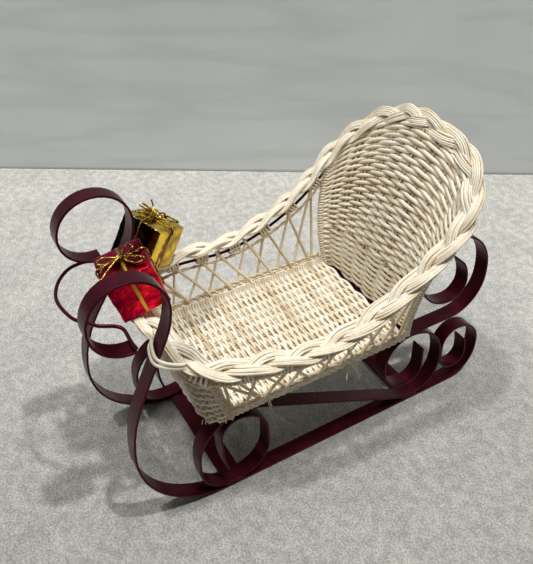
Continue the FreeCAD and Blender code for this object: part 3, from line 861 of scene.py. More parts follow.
wraps = []
for share in (BACK_FROM - 0.004, BACK_TO + 0.004):
    ups = np.linspace(1.5, back_span(share) - 7.0, 8)
    post = Line([tuple(back_point(share, up)) for up in ups])
    count = post.length / 2.3 * POINTS_A_TURN
    places = []
    for part in [i / count for i in range(int(count))]:
        out = wall_out(share, part)
        side = post.along(min(0.999, max(0.001, part))).cross(out)
        places.append((post.at(part), out * 2.7, side * 2.2))
    wraps.append(wind(places, shake=0.1))
lay_reeds("back_edge_wraps", wraps, CREAM, thick=2.05, uneven=0.08)

# %% [markdown]
# ## The front wall
# The front is woven like the back's lower part, but it is low and it goes round both front
# corners. Its rows keep an even share of the height, so they spread a little where the wall is
# taller. Near the last stakes the weavers swing less, because the corner wraps hold them.

# %% Front weave
FRONT_ROWS, FRONT_STAKES, FRONT_CREST = 19, 18, 2.2
FRONT_LOW, FRONT_CLEAR = 0.012, 6.4
FRONT_END, FRONT_NARROWS = 0.107, 0.019


def front_top(share):
    """The height at which the front weave stops below the plait."""
    rise = RIM.at(share) - foot_at(share)
    return 1.0 - FRONT_CLEAR / rise.cross(RIM.along(share)).length


def front_end(height):
    """The share at which the front weave ends: further round the corner at its foot."""
    return FRONT_END - FRONT_NARROWS * height


FRONT_HIGH = front_top(0.09)
front_rows = []
for row in range(FRONT_ROWS):
    height = FRONT_LOW + (FRONT_HIGH - FRONT_LOW) * row / (FRONT_ROWS - 1)
    line = []
    for step in range(FRONT_STAKES * 2 + 1):
        share = front_end(height) * (step / FRONT_STAKES - 1)
        near_post = min(1.0, 0.15 + 0.28 * min(step, FRONT_STAKES * 2 - step))
        out = wall_out(share, height) * 1.6 * near_post * in_and_out(step, row)
        line.append(wall_at(share, height) + out + jitter(0.16))
    front_rows.append(line)
front_sheet = wall_sheet(np.linspace(-0.112, 0.112, 60), np.linspace(0, 1, 40), FRONT_CREST)
front_weave = lay_reeds("front_weave", front_rows, CREAM, thick=2.5, uneven=0.12, sheet=front_sheet)
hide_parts("front_wall")

# %% [markdown]
# The front's stakes lean together a little, since the weave is narrower at its top. A reed wound
# round the last stake finishes each end, looser than on the back.

# %% Front stakes and corner wraps
CORNER_TURNS = 17

stakes = []
for part in np.linspace(-1, 1, FRONT_STAKES + 1):
    heights = np.linspace(0.01, FRONT_HIGH + 0.03, 8)
    stakes.append([wall_at(front_end(h) * float(part), h) for h in heights])
lay_reeds("front_stakes", stakes, TAN, thick=1.8, sheet=front_sheet)

wraps = []
for side in (1, -1):
    count = CORNER_TURNS * POINTS_A_TURN
    places = []
    for i in range(count):
        height = 0.01 + (FRONT_HIGH - 0.01) * i / count
        share = side * front_end(height)
        along = (wall_at(share + 0.002, height) - wall_at(share - 0.002, height)).normalized()
        places.append((wall_at(share, height), wall_out(share, height) * 2.5, along * 2.3))
    wraps.append(wind(places, shake=0.15))
lay_reeds("front_edge_wraps", wraps, CREAM, thick=2.2, uneven=0.12)

# %% [markdown]
# ## The open sides
# Each side starts with a low band of four loose rows that lean on the floor's edge. They swing out
# and in by less than a reed, so they look slack and not woven tight.

# %% Side bands
SIDES = (("left", 1), ("right", -1))
BAND_FROM, BAND_TO, BAND_STEPS = 0.108, 0.352, 60
BAND_ROWS, BAND_ROW_STEP = 4, 2.1
BAND_SWING, BAND_OUT = 0.75, 0.5

for name, side in SIDES:
    lines = []
    for row in range(BAND_ROWS):
        line = []
        z = FLOOR_Z + row * BAND_ROW_STEP
        for i in range(BAND_STEPS + 1):
            share = side * (BAND_FROM + (BAND_TO - BAND_FROM) * i / BAND_STEPS)
            foot, top = foot_at(share), RIM.at(share)
            height = (z - foot.z) / (top.z - foot.z)
            swing = BAND_SWING * (1 if (i + row) % 2 else -1) + BAND_OUT
            line.append(wall_at(share, height) + Vector((side * swing, 0, 0)) + jitter(0.25))
        lines.append(line)
    band = lay_reeds("side_band_" + name + "_weave", lines, CREAM, thick=1.9, uneven=0.15)
    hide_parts("side_band_" + name)

# %% [markdown]
# Above the band the side is an open lattice of thin reeds that cross in pairs. They aren't evenly
# set on the real basket, so each one's top and foot are written down as (along, up) pairs, steep
# ones first and slanting ones after. Each reed bows a little, and the two layers pass each other.

# %% Lattice reeds
STEEP = [((-61, 118), (-67, 87)), ((-41, 105), (-52, 87)), ((-25, 107), (-35, 87)), ((0, 108), (-12, 81)),
         ((19, 114), (8, 83)), ((41, 120), (27, 84)), ((57, 119), (45, 85)), ((64, 115), (62, 83))]
SLANT = [((-71, 107), (-56, 86)), ((-56, 110), (-38, 87)), ((-34, 107), (-18, 85)), ((-15, 104), (1, 84)),
         ((6, 110), (21, 84)), ((24, 117), (41, 83)), ((45, 122), (58, 83))]
CORNER_PAIR = [((-83.0, 113.0), (-77.3, 83.0)), ((-80.0, 110.0), (-60.0, 90.0))]
LATTICE_FOOT = 79.5
RIM_TABLE = [RIM.at(s) for s in np.linspace(0.08, 0.40, 129)]


def rim_passing(y):
    """The rim's point straight above a place along the side."""
    ys = [p.y for p in RIM_TABLE]
    return Vector([np.interp(y, ys, [p[i] for p in RIM_TABLE]) for i in range(3)])


def side_point(y, z, side, out=0.0):
    """A point on the leaning side wall."""
    top = rim_passing(y)
    part = (z - SIDE_FOOT) / (top.z - SIDE_FOOT)
    return Vector((side * (WALL_HALF + (top.x - WALL_HALF) * part + out), y, z))


def lattice_lines(side):
    """All the lattice reeds of one side."""
    lines = []
    for reeds, out in ((STEEP, 0.75), (SLANT, -0.75)):
        for (y0, z0), (y1, z1) in reeds:
            slope = (y1 - y0) / (z1 - z0)
            high = rim_passing(y0).z - 5.0
            bow = dice.uniform(-0.8, 0.8)
            line = []
            for part in (0.0, 0.25, 0.5, 0.75, 1.0):
                z = LATTICE_FOOT + (high - LATTICE_FOOT) * part
                y = y1 + slope * (z - z1) + bow * math.sin(math.pi * part)
                line.append(side_point(y, z, side, out * (1 - 0.4 * part)))
            lines.append(line)
    for (y0, z0), (y1, z1) in CORNER_PAIR:
        steps = [k / 4 for k in range(5)]
        lines.append([side_point(y0 + (y1 - y0) * k, z0 + (z1 - z0) * k, side, 0.4) for k in steps])
    return lines


print(len(STEEP) + len(SLANT) + len(CORNER_PAIR), "lattice reeds a side")

# %% [markdown]
# Two thin reeds twisted round each other tie the lattice down above the band, and a second pair
# holds it under the rim. A twist is two lines that circle a middle line. An arm at right angles to
# the line is carried along from point to point, so that it never flips where the line bends. The
# upper pair comes nearer to the rim towards the back.

# %% Lattice and its twisted ties
PLIES = 2
LOWER_TIE_HEIGHT, UPPER_TIE_DOWN = 85.65, 13.4


def twisted(line, thick, pitch, step):
    """Lines of two plies that twist round each other along a Line."""
    count = max(8, int(line.length / step))
    lines = [[] for _ in range(PLIES)]
    side = None
    for i in range(count + 1):
        share = i / count
        along = line.along(min(0.999, max(0.001, share)))
        if side is None:
            side = along.cross(UP)
            if side.length < 0.2:
                side = along.cross(Vector((0, 1, 0)))
        side = (side - along * side.dot(along)).normalized()
        other = along.cross(side)
        for ply in range(PLIES):
            turn = 2 * math.pi * (share * line.length / pitch + ply / PLIES)
            arm = (side * math.cos(turn) + other * math.sin(turn)) * thick / 2
            lines[ply].append(line.at(share) + arm)
    return lines


def down_wall(share):
    """Rim point with the directions along the rim, down the wall and outwards."""
    along = RIM.along(share)
    down = wall_at(share, 0.93) - RIM.at(share)
    down = (down - along * down.dot(along)).normalized()
    return RIM.at(share), along, down, along.cross(down) * -1.0


for name, side in SIDES:
    lattice = lay_reeds("lattice_" + name, lattice_lines(side), TAN, thick=2.3, steps=4, order=4, uneven=0.1)
    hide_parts("side_lattice_" + name)
    low = [tuple(side_point(y, LOWER_TIE_HEIGHT, side)) for y in np.linspace(-78, 69, 10)]
    high = []
    for share in np.linspace(0.10, BAND_TO, 14):
        point, along, down, out = down_wall(side * float(share))
        high.append(tuple(point + down * (UPPER_TIE_DOWN - max(0.0, float(share) - 0.3) * 60)))
    lower = twisted(Line(low), thick=1.25, pitch=15.0, step=2.2)
    upper = twisted(Line(high), thick=1.25, pitch=17.0, step=2.2)
    lay_reeds("twine_" + name, lower + upper, TAN, thick=1.5, uneven=0.1)

# %% [markdown]
# ## The plaited rim
# The rim is a flat plait of three strands that passes round the whole basket. First it needs a line
# to follow and a side to face: the broad face looks up along the sides and turns forward at the
# back. It also sags a little on the highest part of the back, as the photograph shows.

# %% The plait's way
PLAIT_TURNS, POINTS_A_SWING = 9, 12
STATIONS = PLAIT_TURNS * POINTS_A_SWING
BACK_SAG, CROWN_SAG = 1.6, 2.4


def settled(point):
    """The plait sags a little on the highest part of the back."""
    high = min(1.0, max(0.0, (point.z - 150) / 40))
    crown = min(1.0, max(0.0, (point.z - 190) / 30)) * math.exp(-((point.x - 8) / 24) ** 2)
    return point - Vector((0, 0, BACK_SAG * high + CROWN_SAG * crown))


def plait_frame(share):
    """A point of the plait's middle, the direction across it and the way its face looks."""
    along = RIM.along(share)
    forward = -1.3 * math.sin(math.pi * share) ** 4
    face = Vector((0.25 * math.sin(2 * math.pi * share), forward, 1.0))
    face = (face - along * face.dot(along)).normalized()
    return settled(RIM.at(share)), along.cross(face), face


FRAMES = [plait_frame(i / STATIONS) for i in range(STATIONS)]
print(STATIONS, "stations along the plait")

# %% [markdown]
# Seen from its broad face, a strand of a flat plait swings from side to side once a turn, and it
# dives under and over twice. The three strands do the same a third of a turn apart. Each strand is
# a flat ribbon of nine thin reeds in two layers, which could be one flat tube, but the single reeds
# show and catch the light. Each reed wanders a little from its place.

# %% Plait
PLAIT_SWING, PLAIT_DIVE = 4.15, 2.3
UPPER_LAYER = [(offset, 0.55) for offset in (-2.9, -1.45, 0.0, 1.45, 2.9)]
LOWER_LAYER = [(offset, -0.6) for offset in (-2.2, -0.75, 0.75, 2.2)]


def strand_centres(index):
    """The middle line of one strand."""
    centres = []
    for i, (point, across, face) in enumerate(FRAMES):
        t = 2 * math.pi * (i / STATIONS * PLAIT_TURNS + index / 3)
        swing = (math.sin(t) + 0.12 * math.sin(3 * t)) / 0.88
        sideways = across * PLAIT_SWING / 0.97 * swing
        centres.append(point + sideways + face * PLAIT_DIVE / 0.88 * math.sin(2 * t))
    return centres


def strand_reed(centres, offset, layer):
    """One reed of a strand, beside its middle line by offset and above it by layer."""
    line = []
    drift = dice.uniform(0, 6)
    crown = 0.45 * (1 - (offset / 3.0) ** 2) if layer > 0 else 0.0
    for i in range(STATIONS):
        ahead = (centres[(i + 1) % STATIONS] - centres[i - 1]).normalized()
        face = FRAMES[i][2]
        thin = (face - ahead * face.dot(ahead)).normalized()
        wide = ahead.cross(thin)
        wander = 0.3 * math.sin(i * 0.9 + drift) + 0.25 * math.sin(i * 0.37 + 2 * drift)
        line.append(centres[i] + wide * (offset + wander) + thin * (layer + crown) + jitter(0.05))
    return line


for index, name in enumerate("abc"):
    centres = strand_centres(index)
    lines = [strand_reed(centres, offset, layer) for offset, layer in UPPER_LAYER + LOWER_LAYER]
    strand = lay_reeds("plait_strand_" + name, lines, CREAM, thick=1.7, closed=True, uneven=0.1)
    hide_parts("rim_strand_" + name)

# %% [markdown]
# ## The hoop under the rim
# A round steel hoop in the frame's colour runs under the plait and keeps the basket's shape. It is
# a closed curve a little below the rim and outside it, with a finer bevel than the reeds, because
# smooth steel shows its facets sooner.

# %% Hoop
HOOP_POINTS = 72
HOOP_DOWN, HOOP_OUT = 9.2, 3.2

hoop_line = []
for i in range(HOOP_POINTS):
    point, along, down, out = down_wall(i / HOOP_POINTS)
    hoop_line.append(point + down * HOOP_DOWN + out * HOOP_OUT)
hoop = lay_reeds("hoop", [hoop_line], PAINT, thick=2.4, closed=True, ring=2, uneven=0.0)
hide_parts("rim_hoop")

# %% [markdown]
# Groups of four white reed loops tie hoop and plait together, about three for each turn of the
# plait. Each loop is a closed ring of eight points with a slight twist. There are none on top of
# the back, where the hoop is hidden.

# %% Hoop ties
TIE_PLACES = 27
TIE_STEPS = (-0.0050, -0.0017, 0.0017, 0.0050)


def tie_loop(share):
    """One closed loop round the hoop and the plait's lower edge."""
    point, along, down, out = down_wall(share)
    centre = point + down * 6.6 + out * 1.9
    loop = []
    for k in range(POINTS_A_TURN):
        turn = 2 * math.pi * k / POINTS_A_TURN
        arm = down * 5.4 * math.cos(turn)
        loop.append(centre + arm + out * 3.3 * math.sin(turn) + along * 0.7 * math.sin(turn * 2))
    return loop


ties = []
for middle in [(i + 0.35) / TIE_PLACES for i in range(TIE_PLACES)]:
    if not 0.40 < middle < 0.60:
        ties += [tie_loop(middle + step + dice.uniform(-0.0004, 0.0004)) for step in TIE_STEPS]
lay_reeds("hoop_ties", ties, CREAM, thick=1.7, closed=True, steps=3)

# %% [markdown]
# Along the front and the near side a thin reed is wound round the hoop, turn against turn, so
# only its far side shows bare paint. Six points a turn are enough for a coil this small.

# %% Hoop winding
WOUND_FROM, WOUND_TO = -0.13, 0.365
WINDING_PITCH, WINDING_POINTS = 1.35, 6

turns = int((WOUND_TO - WOUND_FROM) * RIM.length / WINDING_PITCH)
line = []
for i in range(turns * WINDING_POINTS):
    share = WOUND_FROM + (WOUND_TO - WOUND_FROM) * i / (turns * WINDING_POINTS)
    point, along, down, out = down_wall(share)
    turn = 2 * math.pi * i / WINDING_POINTS
    arm = down * (9.0 + 1.5 * math.cos(turn))
    line.append(point + arm + out * (2.9 + 1.5 * math.sin(turn)) + jitter(0.05))
lay_reeds("hoop_wraps", [line], TAN, thick=1.45, uneven=0.08)

# %% [markdown]
# ## The front rod
# A thin painted rod bends from the end of one front scroll round to the other in a loose U. It
# was bent by hand, so no arc fits it. Each point of its route is a place in X, and how far the rod
# leaves the straight line between its two ends in Y and Z. The ends are thicker, where it is
# welded on.

# %% Rod
ROD_STEPS = 60
ROD_ENDS = ((-120.42, 165.77), (-130.66, 155.59))
ROD_ROUTE = [
    (-35.0, -2.08, -2.52), (-38.5, -3.98, -1.92), (-41.3, -7.38, -1.58), (-43.6, -12.77, -2.38),
    (-44.0, -18.07, -3.18), (-40.6, -23.27, -3.48), (-34.9, -27.57, -3.18), (-27.2, -30.86, -2.58),
    (-16.5, -32.76, -1.98), (-8.2, -31.66, -1.38), (0.5, -29.36, -0.78), (7.3, -25.76, -0.18),
    (12.6, -20.25, 0.42), (18.0, -15.65, 1.02), (22.4, -7.65, 1.61), (26.5, -2.35, 1.41),
    (33.0, -1.25, 1.66), (46.3, -0.64, 2.26),
]

(start_y, start_z), (end_y, end_z) = ROD_ENDS
rod_points = []
for i, (x, dy, dz) in enumerate(ROD_ROUTE):
    part = i / (len(ROD_ROUTE) - 1)
    rod_points.append((x, start_y * (1 - part) + end_y * part + dy, start_z * (1 - part) + end_z * part + dz))
rod_line = Line(rod_points)
rod_places = [rod_line.at(i / ROD_STEPS) for i in range(ROD_STEPS + 1)]
rod_widths = [1.0 + 0.35 * max(0.0, 1 - min(i, ROD_STEPS - i) / 2) for i in range(ROD_STEPS + 1)]
rod = lay_reeds("front_rod", [rod_places], PAINT, thick=2.4, ring=3, uneven=0.0, widths=[rod_widths])
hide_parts("front_loop_rod")

# %% [markdown]
# ## Lacing at the front corners
# Thick soft reeds tie the rim to the two rising straps. Each is a closed loop that passes in front
# of the strap and round the plait behind it. The left and the right strap lean differently, so the
# strap's place is asked for by its height, and the rest of the loop is mirrored.

# %% Corner lacing
STRAP_RISES = {1: (-133.2, 115.9, 0.4986), -1: (-128.5, 124.3, 0.6128)}
STRAPS_HALF_APART, STRAP_LEAN, STRAP_HALF_WIDE = 56.25, math.radians(3.2), 6.0
LACING_HEIGHT = 148.0


def strap_front(side, z):
    """Where the rising strap is at height z, as the Y of its middle line."""
    y, height, slope = STRAP_RISES[side]
    return y + (z - height) * slope


def lacing_loop(side, lift, near):
    """A closed loop in front of the strap and round the plait."""
    z = LACING_HEIGHT + lift
    x = STRAPS_HALF_APART - z * math.tan(STRAP_LEAN) - STRAP_HALF_WIDE
    loop = [
        (x - 7.8, strap_front(side, z + 3) + 1.2, z + 3.0),
        (x - 5.0, strap_front(side, z + 2) - 2.9 - near, z + 2.0),
        (x + 0.5, strap_front(side, z - 0.5) - 3.4 - near, z - 0.5),
        (x + 6.2, strap_front(side, z - 3) - 2.6 - near, z - 3.0),
        (x + 10.2, strap_front(side, z - 6) + 4.5, z - 6.0),
        (x + 9.5, -104.0, 134.5 + lift),
        (x + 2.5, -101.5, 132.0 + lift),
        (x - 4.5, -104.0, 136.5 + lift),
    ]
    return [Vector((side * across, y, up)) for across, y, up in loop]


lacing = [lacing_loop(side, lift, near) for side in (1, -1) for lift, near in ((0.0, 0.0), (-2.6, 0.5))]
lay_reeds("corner_lacing", lacing, CREAM, thick=2.3, closed=True, ring=2, steps=5)

# %% [markdown]
# ## The foil parcels
# Two small cubes wrapped in foil sit on the front rim. Foil is a mirror with dents, so its shader
# is all metal with low roughness, and a bump bends what it mirrors. Its darker and paler pools
# stand for the room that the real foil mirrors and this plain room lacks.

# %% Foil
def card_place(tree):
    """The place on the parcel, each axis from 0 to 1 across the card."""
    card = node(tree, "ShaderNodeAttribute", attribute_name="card").outputs["Vector"]
    parts = node(tree, "ShaderNodeSeparateXYZ")
    tree.links.new(card, parts.inputs[0])
    return parts.outputs


def foil(name, pools):
    """Dented foil with pools of tone; the last value is its colour so far."""
    material, tree, shader = new_material(name, Metallic=1.0, Roughness=0.15)
    place = object_place(tree)
    dents = stretched_noise(tree, place, 170, detail=4.0)
    add_bump(tree, shader, dents, strength=0.6, distance=0.0013)
    return material, tree, shader, ramp(tree, stretched_noise(tree, place, 95), pools)


def laid_over(tree, below, above, mask):
    """Second colour over the first where the mask is white."""
    made = node(tree, "ShaderNodeMixRGB", blend_type="MIX")
    tree.links.new(mask, made.inputs[0])
    tree.links.new(below, made.inputs[1])
    tree.links.new(above, made.inputs[2])
    return made.outputs[0]


print("foil helpers ready")

# %% [markdown]
# The red parcel's lid is painted a darker plum with a brighter red edge, and the red of its sides is
# painted towards rose on the left: both are painted reflections of the room that the foil mirrors.
# Each face keeps its own colour when the parcel is turned, because the colours are placed by an
# attribute of the card and not by the room.

# %% Red foil
RED_POOLS = [(0.36, (0.22, 0.0, 0.02)), (0.47, (0.62, 0.004, 0.03)), (0.62, (0.95, 0.02, 0.03))]
AT_FAR_FACE = [(0.955, BLACK), (0.975, WHITE)]

RED_FOIL, tree, shader, base = foil("red_foil", RED_POOLS)
x, y, z = card_place(tree)
# Painted reflections: the sides turn rose towards the left, and the lid is a darker plum with a brighter red
# edge.
painted_rose_reflection = ramp(tree, y, [(0.10, (0.62, 0.25, 1.0)), (0.55, WHITE)])
painted_lid_reflection = ramp(tree, x, [(0.10, (0.36, 0.010, 0.07)), (0.62, (0.25, 0.005, 0.04)), (0.90, (0.60, 0.008, 0.03))])
red = laid_over(tree, multiplied(tree, base, painted_rose_reflection), painted_lid_reflection, ramp(tree, z, AT_FAR_FACE))
tree.links.new(red, shader.inputs["Base Color"])
print("material", RED_FOIL.name)

# %% [markdown]
# The gold parcel's left side is painted dark with coppery patches, and a ragged brown streak is
# painted down its front: both are painted reflections of dark things that the foil mirrors. The
# streak is a band across the card that slants, because a little of the height is taken off, and that
# is ragged, because noise is added.

# %% Gold foil
GOLD_POOLS = [(0.36, (0.36, 0.25, 0.015)), (0.60, (0.84, 0.60, 0.035))]
LEFT_SIDE_REFLECTIONS = [(0.30, (0.055, 0.07, 0.025)), (0.60, (0.06, 0.05, 0.02)), (0.80, (0.12, 0.03, 0.015)),
         (0.88, (0.70, 0.55, 0.10))]
REFLECTION_STREAK_BAND = [(0.30, BLACK), (0.335, WHITE), (0.43, WHITE), (0.46, BLACK)]

GOLD_FOIL, tree, shader, base = foil("gold_foil", GOLD_POOLS)
x, y, z = card_place(tree)
# Painted reflection: the left side goes dark green-black to copper, with a bright edge.
left_side = ramp(tree, y, [(0.03, WHITE), (0.05, BLACK)])
gold = laid_over(tree, base, ramp(tree, x, LEFT_SIDE_REFLECTIONS), left_side)
# Painted reflection: a ragged dark brown streak down the front face.
ragged = scaled(tree, stretched_noise(tree, object_place(tree), 260), 0.22, y)
reflection_streak = ramp(tree, scaled(tree, z, -0.22, ragged), REFLECTION_STREAK_BAND)
on_front = ramp(tree, x, AT_FAR_FACE)
dark_reflection = node(tree, "ShaderNodeRGB")
dark_reflection.outputs[0].default_value = (0.13, 0.04, 0.01, 1.0)
gold = laid_over(tree, gold, dark_reflection.outputs[0], multiplied(tree, reflection_streak, on_front))
tree.links.new(gold, shader.inputs["Base Color"])
print("material", GOLD_FOIL.name)

# %% [markdown]
# The cord is metallic thread, which glints as each turn of its plies catches the light. A very
# fine noise from brown to bright gold gives the same sparkle. The ribbon is smooth and only 2 mm
# wide, so a plain gold with the room mirrored in it is enough.

# %% Gold thread and ribbon
GLINTS = [(0.38, (0.06, 0.02, 0.003)), (0.50, (0.38, 0.20, 0.025)), (0.62, (1.0, 0.80, 0.22))]

THREAD, tree, shader = new_material("gold_thread", Metallic=1.0, Roughness=0.24)
glint = stretched_noise(tree, object_place(tree), 800)
tree.links.new(ramp(tree, glint, GLINTS), shader.inputs["Base Color"])
add_bump(tree, shader, glint, strength=0.8, distance=0.0005)
RIBBON = new_material("gold_ribbon", Metallic=1.0, Roughness=0.30, Base_Color=(0.50, 0.33, 0.03, 1.0))[0]
print("materials", THREAD.name, RIBBON.name)

# %% [markdown]
# A bare cube would look machined. So each cube is divided, bevelled and pressed in a little by
# waves, and the foil looks pulled tight over card. The bevel finds the cube's own edges by their
# angle, because all the edges of the division lie flat. The box is then put at the same turn and
# middle as the measured one.

# %% Parcel boxes
CARD = 32.0
IN_METRES = Matrix.Scale(0.001, 4) @ Matrix.Translation((0, CENTRE_Y, 0))


def turned(yaw, pitch, roll):
    """A turn by three angles in degrees."""
    angles = ((yaw, "Z"), (pitch, "Y"), (roll, "X"))
    about_z, about_y, about_x = (Matrix.Rotation(math.radians(angle), 4, axis) for angle, axis in angles)
    return about_z @ about_y @ about_x


def dent(place):
    """How far the foil is pressed in, in mm."""
    x, y, z = place
    waves = math.sin(x * 0.42 + z * 0.31) * math.cos(y * 0.37 - x * 0.2)
    return 0.20 + 0.18 * (waves + 0.6 * math.sin(z * 0.9 + y * 0.7 + x * 0.5))


def parcel(name, middle, turn, material):
    """A foil-wrapped card cube; returns its place in millimetres."""
    place = Matrix.Translation(Vector(middle)) @ turned(*turn)
    bm = bmesh.new()
    bmesh.ops.create_cube(bm, size=CARD)
    bmesh.ops.subdivide_edges(bm, edges=bm.edges[:], cuts=15, use_grid_fill=True)
    bmesh.ops.bevel(bm, geom=sharp_edges(bm, 1.0), offset=0.5, segments=2, profile=0.5,
                    affect="EDGES", material=-1)
    for vert in bm.verts:
        vert.co -= vert.normal * dent(vert.co)
    card = bm.verts.layers.float_vector.new("card")
    for vert in bm.verts:
        vert[card] = vert.co / CARD + Vector((0.5, 0.5, 0.5))
    for face in bm.faces:
        face.smooth = True
    bmesh.ops.transform(bm, matrix=IN_METRES @ place, verts=bm.verts)
    made = mesh_object(name + "_wrap", bm, material)
    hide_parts(name)
    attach(made, "root")
    print(name, len(made.data.polygons), "faces")
    return place


RED_PLACE = parcel("parcel_red", (-3.0, -113.0, 167.2), (-7.4, 0.0, 16.6), RED_FOIL)
GOLD_PLACE = parcel("parcel_gold", (-59.2, -80.4, 152.8), (27.8, 12.6, -25.5), GOLD_FOIL)

# %% [markdown]
# A flat gold ribbon goes round each parcel one way. It is a flat curve given a width, drawn as a
# square whose corners are cut, because tight ribbon bends round a card edge in a short curve. It
# becomes a mesh before it is turned into place.

# %% Ribbons
RIBBON_THICK = 0.12


def ribbon(name, place, wide, shift):
    """A flat band round the card, in the plane of its X and Z axes."""
    data = bpy.data.curves.new(name, "CURVE")
    data.dimensions = "2D"
    data.fill_mode = "NONE"
    data.extrude = wide / 2
    data.bevel_depth = RIBBON_THICK
    data.bevel_resolution = 0
    edge, inner = CARD / 2 + RIBBON_THICK, CARD / 2 - 0.9
    ring = []
    for sx, sy in ((1, -1), (1, 1), (-1, 1), (-1, -1)):
        first, second = (sx * inner, sy * edge), (sx * edge, sy * inner)
        ring += [first, second] if sx * sy < 0 else [second, first]
    spline = data.splines.new("POLY")
    spline.points.add(len(ring) - 1)
    for point, (x, y) in zip(spline.points, ring):
        point.co = (x, y, 0, 1)
    spline.use_cyclic_u = True
    mesh = as_mesh(name + "_line", data)
    stand = Matrix.Translation((0, shift, 0)) @ Matrix.Rotation(math.radians(90), 4, "X")
    mesh.transform(IN_METRES @ place @ stand)
    mesh.materials.clear()
    mesh.materials.append(RIBBON)
    made = add_object(name, mesh)
    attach(made, "root")
    print(name, len(mesh.polygons), "faces")


ribbon("parcel_red_ribbon", RED_PLACE, wide=2.0, shift=0.3)
ribbon("parcel_gold_ribbon", GOLD_PLACE, wide=2.2, shift=0.6)

# %% [markdown]
# A metallic cord goes round the other way and ends in a bow on the lid. The cord is two plies
# twisted together, which is what makes it sparkle, so the twist from the lattice ties is used
# again. A bow is the cord's round, a set of loops and tails from the knot, and the knot itself.

# %% Cords and bows
def cord_round(x):
    """The cord's way round the card, in the plane of its Y and Z axes."""
    low = CARD / 2 + 0.7
    square = [Vector((x, y, z)) for y, z in ((-low, -low), (low, -low), (low, low), (-low, low))]
    dense = []
    for k in range(4):
        for part in (0.04, 0.2, 0.4, 0.6, 0.8, 0.96):
            dense.append(tuple(square[k].lerp(square[(k + 1) % 4], part)))
    return Line(dense, closed=True)


def knot_ring(knot):
    """A small wavy ring round the knot's middle."""
    x, y, z = knot
    angles = np.linspace(0, 2 * math.pi, 9)[:-1]
    ring = [(x + 1.5 * math.cos(t), y + 1.2 * math.sin(t), z + 0.9 * math.sin(2 * t)) for t in angles]
    return Line(ring, closed=True)


def bow(name, place, x, knot, paths):
    """A cord round the card with its loops and tails, which all start at the knot."""
    lines = twisted(cord_round(x), thick=0.75, pitch=2.9, step=0.7)
    for path in paths:
        lines += twisted(Line([knot] + path), thick=0.8, pitch=2.8, step=0.7)
    lines += twisted(knot_ring(knot), thick=0.8, pitch=2.5, step=0.6)
    placed = [[place @ point for point in line] for line in lines]
    lay_reeds(name, placed, THREAD, thick=1.0, steps=1, uneven=0.18)


print("bow helpers ready")

# %% [markdown]
# The red parcel's bow has three loops and two tails. Lengths are millimetres from the card's middle,
# so the lid is at 16. A path that ends at the knot is a loop.

# %% Red bow
RED_KNOT = (-2.6, 0.5, 17.8)

bow("parcel_red_bow", RED_PLACE, -2.4, RED_KNOT, [
    [(-4.0, -5.0, 19.6), (-6.6, -10.5, 20.2), (-6.2, -13.8, 19.2), (-3.2, -11.5, 18.2),
     (-2.2, -5.0, 17.8), RED_KNOT],
    [(-4.0, 4.0, 20.2), (-3.4, 8.6, 23.0), (-1.0, 10.4, 22.8), (0.0, 6.4, 19.8), RED_KNOT],
    [(1.4, 4.6, 19.0), (6.6, 10.4, 19.8), (10.8, 13.6, 19.0), (10.6, 11.0, 18.2), (5.0, 4.8, 17.6),
     RED_KNOT],
    [(0.6, -3.6, 18.4), (3.6, -8.4, 18.2), (6.8, -12.4, 17.6), (8.4, -15.2, 16.9)],
    [(-0.6, -4.8, 18.8), (0.2, -9.6, 19.0), (3.0, -13.6, 18.2)],
])

# %% [markdown]
# The gold parcel's bow is messier: a tuft of small loops fills its middle, and five larger loops
# and three tails spread over the lid and down its edges. The tuft's loops are given only by how
# far they reach, and rise by a random height.

# %% Gold bow
GOLD_KNOT = (-0.3, 2.0, 18.0)
TUFT = [(-5.5, -3.0), (-7.5, 1.0), (-5.0, 4.2), (-3.0, -5.6), (-8.6, -4.2), (-2.0, 5.0), (-9.6, 2.6)]


def tuft_loop(dx, dy):
    """A small loop from the knot out to (dx, dy) and back by another way."""
    lift = dice.uniform(0.8, 2.6)
    rise, top = Vector((dx * 0.55, dy * 0.55, lift)), Vector((dx, dy, lift))
    fall = Vector((dx * 0.7 - dy * 0.3, dy * 0.7 + dx * 0.3, 0.6))
    return [tuple(Vector(GOLD_KNOT) + step) for step in (rise, top, fall)] + [GOLD_KNOT]


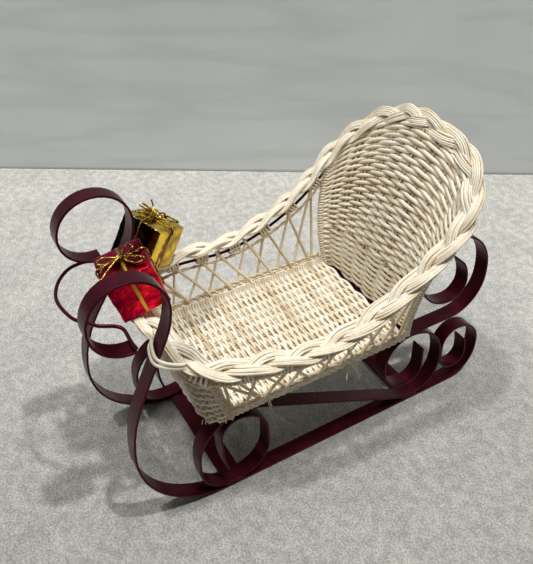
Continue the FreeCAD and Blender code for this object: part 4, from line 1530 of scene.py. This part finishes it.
bow("parcel_gold_bow", GOLD_PLACE, -0.6, GOLD_KNOT, [tuft_loop(dx, dy) for dx, dy in TUFT] + [
    [(-5.0, -2.6, 20.4), (-10.6, -6.4, 21.6), (-13.4, -3.6, 20.6), (-9.6, 0.2, 19.0), GOLD_KNOT],
    [(-6.6, 1.6, 20.6), (-13.0, 1.0, 21.2), (-15.6, 3.8, 20.0), (-10.2, 5.6, 19.0), GOLD_KNOT],
    [(-3.0, -5.6, 19.4), (-6.4, -11.4, 19.6), (-9.6, -12.6, 18.6), (-7.6, -7.2, 18.0), GOLD_KNOT],
    [(3.0, 7.6, 19.6), (8.0, 11.4, 18.8), (11.6, 13.0, 18.2), (8.6, 8.6, 17.9), GOLD_KNOT],
    [(-1.2, 6.6, 19.4), (0.4, 10.0, 19.4), (2.8, 9.4, 18.6), (2.0, 5.0, 18.2), GOLD_KNOT],
    [(-6.0, 4.0, 21.0), (-9.6, 5.4, 23.4), (-11.2, 5.2, 25.2)],
    [(6.4, 2.2, 18.6), (12.6, -0.4, 18.2), (16.4, -1.8, 16.6), (17.4, -2.0, 12.6)],
    [(-0.8, -6.4, 18.4), (-0.4, -12.8, 18.0), (0.2, -16.2, 17.0)],
])

# %% [markdown]
# ## Stray fibres
# Hand-worked reed sheds short hairs. A few wisps stand off the lower edges and the front corner,
# and two frayed ends hang from the near edge, one near the front and one under the middle. Hair
# particles would also do, but a few dozen thin reeds are lighter and stay where they are put.

# %% Stray fibres
WISPS = [((57, 18, 79), 9), ((57.5, 22, 80), 8), ((58, 20, 78), 12), ((56, -82, 77), 5), ((50, -93, 77), 5)]
FRAYED_ENDS = [((58.4, -50, 81), (59.6, -47.5, 71.5)), ((58.4, 23, 77), (59.8, 29, 60))]
WISP_FIBRES, END_FIBRES = 5, 4

fibres = []
for (x, y, z), reach in WISPS:
    for _ in range(WISP_FIBRES):
        start = Vector((x, y + dice.uniform(-4, 4), z + dice.uniform(-1, 2)))
        lean = Vector((dice.uniform(0.1, 0.8), dice.uniform(-0.9, 0.6), dice.uniform(-0.9, 0.2)))
        tip = start + lean * reach * dice.uniform(0.4, 0.9)
        fibres.append([start, start.lerp(tip, 0.5) + jitter(1.2), tip + Vector((0, 0, -1.5))])
for first, last in FRAYED_ENDS:
    for beside in [k - END_FIBRES / 2 for k in range(END_FIBRES)]:
        start = Vector(first) + Vector((0, 0.6 * beside, 0)) + jitter(0.2)
        tip = Vector(last) + Vector((0, 0.7 * beside, dice.uniform(-1, 3))) + jitter(0.4)
        fibres.append([start, start.lerp(tip, 0.5) + jitter(0.9), tip])
lay_reeds("stray_fibres", fibres, CREAM, thick=0.6, ring=0, uneven=0.3)
